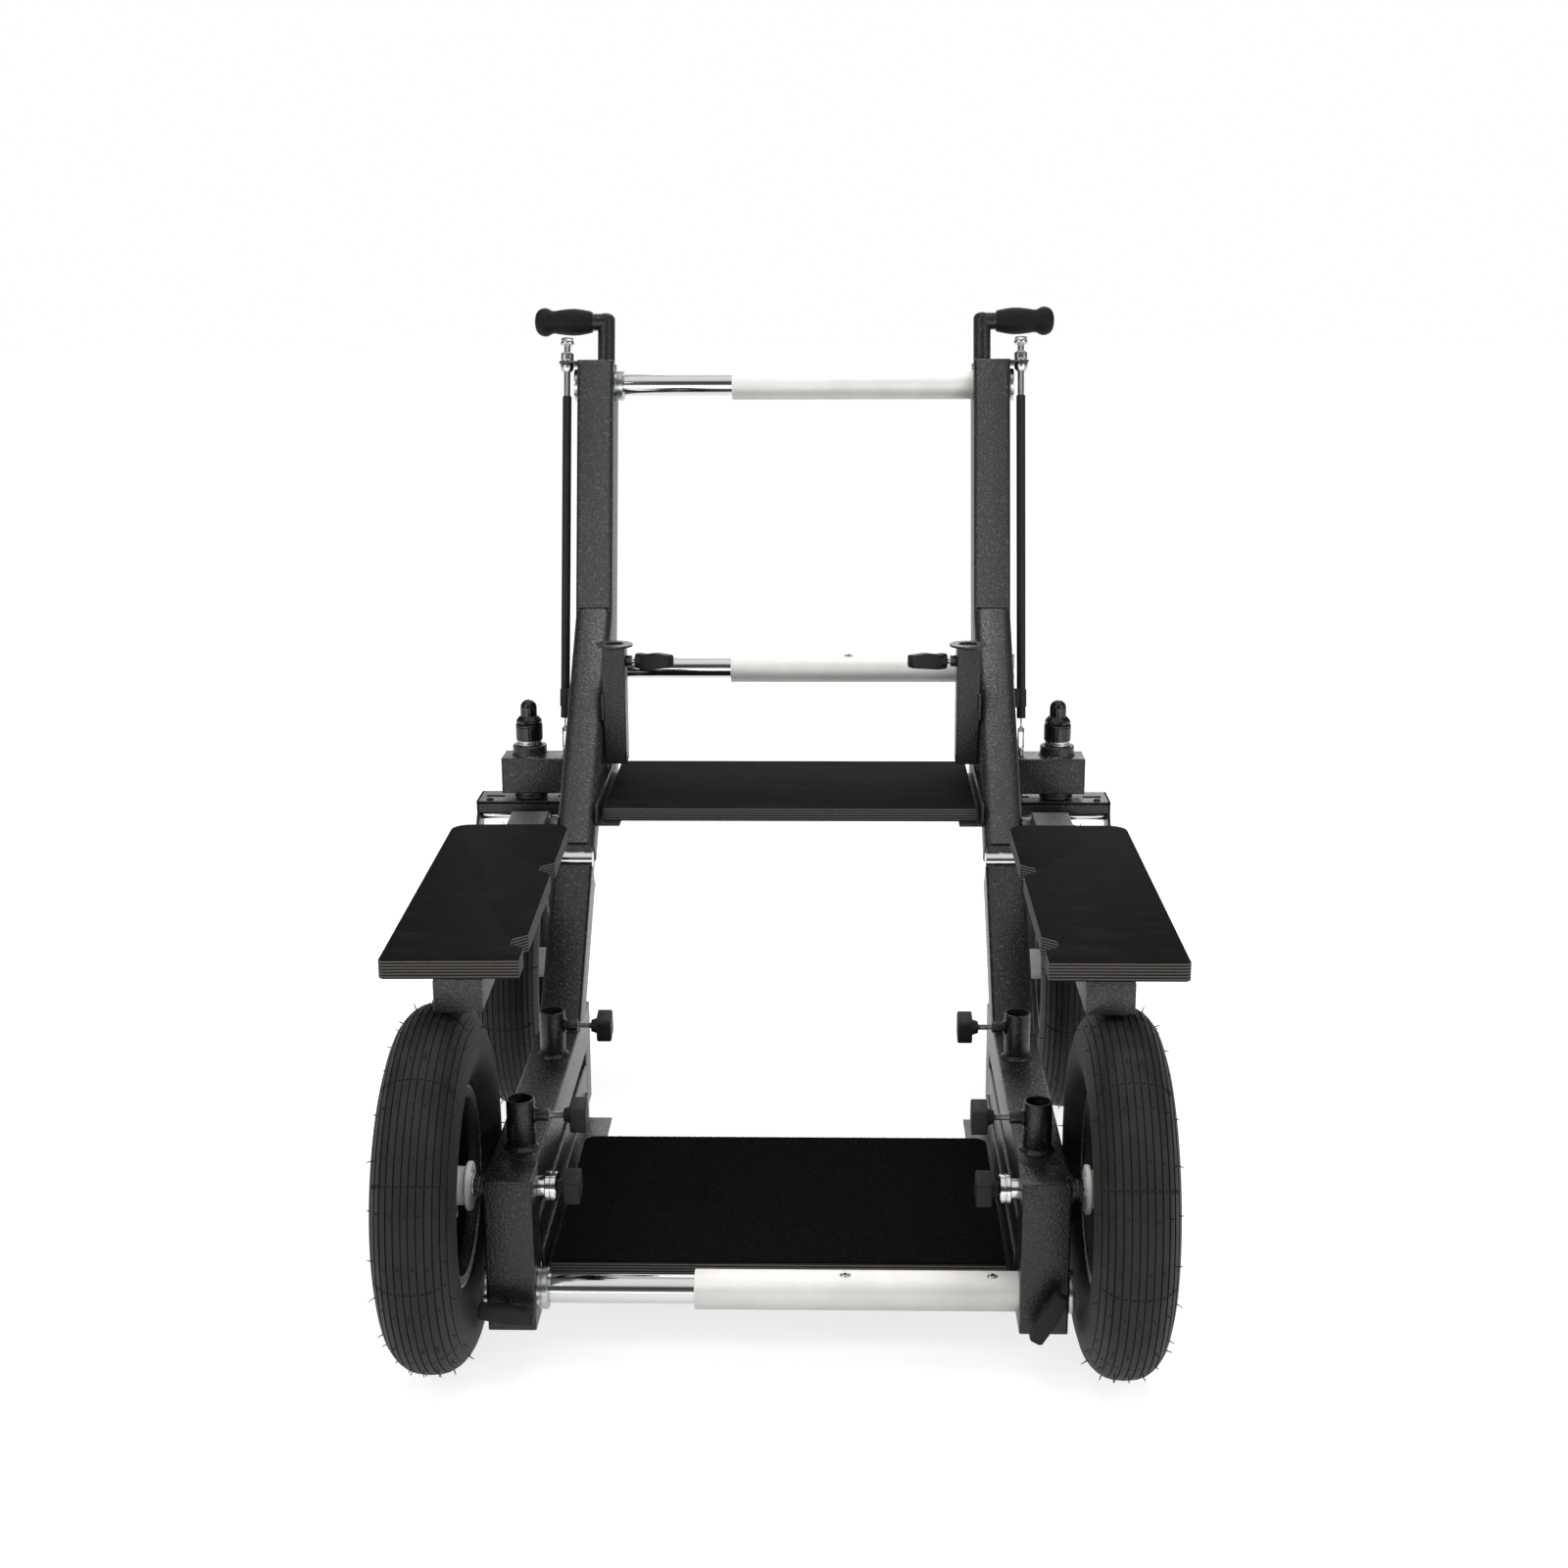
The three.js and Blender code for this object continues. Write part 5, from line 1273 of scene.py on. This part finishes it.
def make_side_board(side, skew):
    """Side board with a rounded rear and two notches that clear the sockets' posts."""
    low, high = box("side_board_right")
    outline = [(low.x, low.y), (high.x - 4, low.y), (high.x, low.y + 4)] + rounded_back(low, high, 22)
    for notch in (FRONT_Y + 350, FRONT_Y + 88):
        outline += [(low.x + deep, notch + along) for deep, along in ((0, 23), (15, 9), (15, -9), (0, -23))]
    dress(skewed(layered(outline, low.z, high.z), skew), "side_board", "film veneer", side)


def make_side_arm(side, skew):
    low, high = box("side_arm_right")
    piece = bmesh.new()
    put(piece, bar(low, high, 1, 3, all_sizes().edge))
    put(piece, rod(9, high.x - 0.2, high.x + 0.4, "X", (0, high.y - 13, (low.z + high.z) / 2), 0.2), 1)
    dress(skewed(piece, skew), "side_arm", "coat zinc", side)


class DOLLY_OT_studio(DollyPart, bpy.types.Operator):
    """Pale floor, soft lights, world and the camera"""

    bl_idname = "dolly.studio"
    bl_label = "Studio"

    def execute(self, context):
        make_floor()
        make_world()
        make_lights()
        make_camera()
        context.scene.view_settings.view_transform = "Standard"
        return {"FINISHED"}


def make_floor():
    shape = bmesh.new()
    bmesh.ops.create_grid(shape, x_segments=1, y_segments=1, size=20.0)
    mesh = bpy.data.meshes.new("studio_floor")
    shape.to_mesh(mesh)
    shape.free()
    material = bpy.data.materials.new("seamless paper")
    mesh.materials.append(material)
    tree = empty_tree(material)
    rays = add(tree, "LightPath")
    # Painted light: mirrored rays see the paper glow more towards the camera, 2.3 there and 0.6 by the
    # machine, for the front lamps' light on it. The camera sees an even glow
    place = add(tree, "NewGeometry")["Position"]
    ahead = add(tree, "SeparateXYZ", {"Vector": place})["Y"]
    near = add(tree, "MapRange", {
        "Value": ahead, "From Min": -2.8, "From Max": -0.9, "To Min": 2.3, "To Max": 0.6})["Result"]
    strength = add(tree, "Mix", {"Factor": rays["Is Camera Ray"], 2: near, 3: 0.78})[0]
    glow = add(tree, "Emission", {"Color": (1, 1, 1, 1), "Strength": strength})[0]
    paper = add(tree, "BsdfDiffuse", {"Color": bpy.context.scene.dolly_finishes.floor})[0]
    glowing = add(tree, "AddShader", {0: paper, 1: glow})[0]
    shown = add(tree, "Math", {0: rays["Is Camera Ray"], 1: rays["Is Glossy Ray"]}, operation="MAXIMUM")[0]
    mix = add(tree, "MixShader", {"Fac": shown, 1: paper, 2: glowing})[0]
    add(tree, "OutputMaterial", {"Surface": mix})
    in_scene("studio_floor", mesh)


def make_world():
    world = bpy.data.worlds.new("studio")
    bpy.context.scene.world = world
    tree = empty_tree(world)
    soft, white = (add(tree, "Background", {"Color": (1, 1, 1, 1), "Strength": strength})[0]
                   for strength in (0.5, 1.0))
    # What metal mirrors: the dark room behind the camera, a pale ceiling and the white backdrop
    way = add(tree, "SeparateXYZ", {"Vector": add(tree, "TexCoord")["Generated"]})
    ahead = add(tree, "Math", {0: way["Y"], 1: -1.0}, operation="MULTIPLY")[0]
    around = add(tree, "Math", {0: way["Z"], 1: ahead}, operation="ARCTAN2")[0]
    share = add(tree, "Math", {0: around, 1: math.pi}, operation="DIVIDE")[0]
    room = add(tree, "ValToRGB", {"Fac": share}, (
        (0.02, 0.4), (0.07, 0.08), (0.2, 0.06), (0.3, 0.9),
        (0.56, 1.0), (0.64, 0.6), (0.76, 0.6), (0.84, 1.0)))[0]
    beside = add(tree, "Math", {0: way["X"]}, operation="ABSOLUTE")[0]
    dimmed = add(tree, "ValToRGB", {"Fac": beside}, ((0.4, 1.0), (0.62, 0.12), (0.85, 0.12), (0.95, 0.5)))[0]
    strength = add(tree, "SeparateColor", {"Color": dimmed})["Red"]
    mirrored_room = add(tree, "Background", {"Color": room, "Strength": strength})[0]
    rays = add(tree, "LightPath")
    metal = add(tree, "MixShader", {"Fac": rays["Is Glossy Ray"], 1: soft, 2: mirrored_room})[0]
    mix = add(tree, "MixShader", {"Fac": rays["Is Camera Ray"], 1: metal, 2: white})[0]
    add(tree, "OutputWorld", {"Surface": mix})


def make_lamp(name, place, turn, size, power):
    light = bpy.data.lights.new(name, "AREA")
    light.shape = "SQUARE"
    light.size = size
    light.energy = power
    lamp = in_scene(name, light)
    lamp.location = place
    lamp.rotation_euler = turn
    return lamp


def make_lights():
    """Four lamps for the whole machine, and two that only reach the posts and legs."""
    for name, place, turn, size, power in (
            ("overhead", (0.0, 0.2, 3.4), (0, 0, 0), 2.6, 70.0),
            ("front left", (-2.4, -2.2, 2.2), (50, 0, -46), 1.6, 30.0),
            ("front right", (2.6, -1.8, 1.8), (58, 0, 55), 1.6, 26.0),
            ("back", (0.4, 3.2, 2.4), (-55, 0, 0), 2.0, 30.0)):
        lamp = make_lamp(name, place, [math.radians(a) for a in turn], size, power)
        # Its mirror image would whiten every level and sloping face
        lamp.visible_glossy = name != "overhead"
    slopes = bpy.data.collections.new("posts and legs")
    for side in SIDES:
        for name in ("rear_frame_look", "seat_socket_look"):
            slopes.objects.link(bpy.data.objects[f"{name}_{side}"])
    # Each of these stands where its slope mirrors the camera
    for name, target, rise, size, power in (
            ("post glow", (0, 0.42, 0.85), 2 * POST_LEAN - 0.09, 1.5, 18.0),
            ("leg glow", (0, 0.2, 0.65), math.pi - 2 * LEG_SLOPE - 0.16, 0.7, 15.0)):
        away = Vector((0, -math.cos(rise), math.sin(rise)))
        turn = away.to_track_quat("Z", "Y").to_euler()
        lamp = make_lamp(name, Vector(target) + away * 2.4, turn, size, power)
        lamp.light_linking.receiver_collection = slopes


def make_camera():
    camera = bpy.data.cameras.new("camera")
    camera.lens = 49.41
    camera.sensor_width = 36.0
    camera.sensor_fit = "HORIZONTAL"
    made = in_scene("camera", camera)
    made.location = (0.0582, -2.4800, 1.1493)
    pitch, yaw, roll = 0.2516, -0.0243, -0.0042
    look = Matrix.Rotation(-yaw, 3, "Z") @ Matrix.Rotation(math.pi / 2 - pitch, 3, "X")
    made.rotation_euler = (look @ Matrix.Rotation(roll, 3, "Z")).to_euler()
    bpy.context.scene.camera = made


OPERATORS = (
    DOLLY_OT_front_frames, DOLLY_OT_rear_frames, DOLLY_OT_cross_tubes, DOLLY_OT_sockets, DOLLY_OT_knobs,
    DOLLY_OT_wheels, DOLLY_OT_casters, DOLLY_OT_locks, DOLLY_OT_handles, DOLLY_OT_boards, DOLLY_OT_studio,
)


class DOLLY_PT_panel(bpy.types.Panel):
    """Lists the dolly's sizes, finishes and steps"""

    bl_label = "Doorway Dolly"
    bl_idname = "DOLLY_PT_panel"
    bl_space_type = "VIEW_3D"
    bl_region_type = "UI"
    bl_category = "Dolly"

    def draw(self, context):
        for name, group in GROUPS.items():
            panel = self.layout.box()
            for field in group.__annotations__:
                panel.prop(getattr(context.scene, name), field)
        for operator in OPERATORS:
            self.layout.operator(operator.bl_idname)


def register():
    for name, group in GROUPS.items():
        bpy.utils.register_class(group)
        setattr(bpy.types.Scene, name, bpy.props.PointerProperty(type=group))
    for shown in OPERATORS + (DOLLY_PT_panel,):
        bpy.utils.register_class(shown)


def unregister():
    for shown in (DOLLY_PT_panel,) + OPERATORS[::-1]:
        bpy.utils.unregister_class(shown)
    for name, group in GROUPS.items():
        delattr(bpy.types.Scene, name)
        bpy.utils.unregister_class(group)


def main():
    register()
    for operator in OPERATORS:
        section, name = operator.bl_idname.split(".")
        getattr(getattr(bpy.ops, section), name)()


if __name__ == "__main__":
    main()
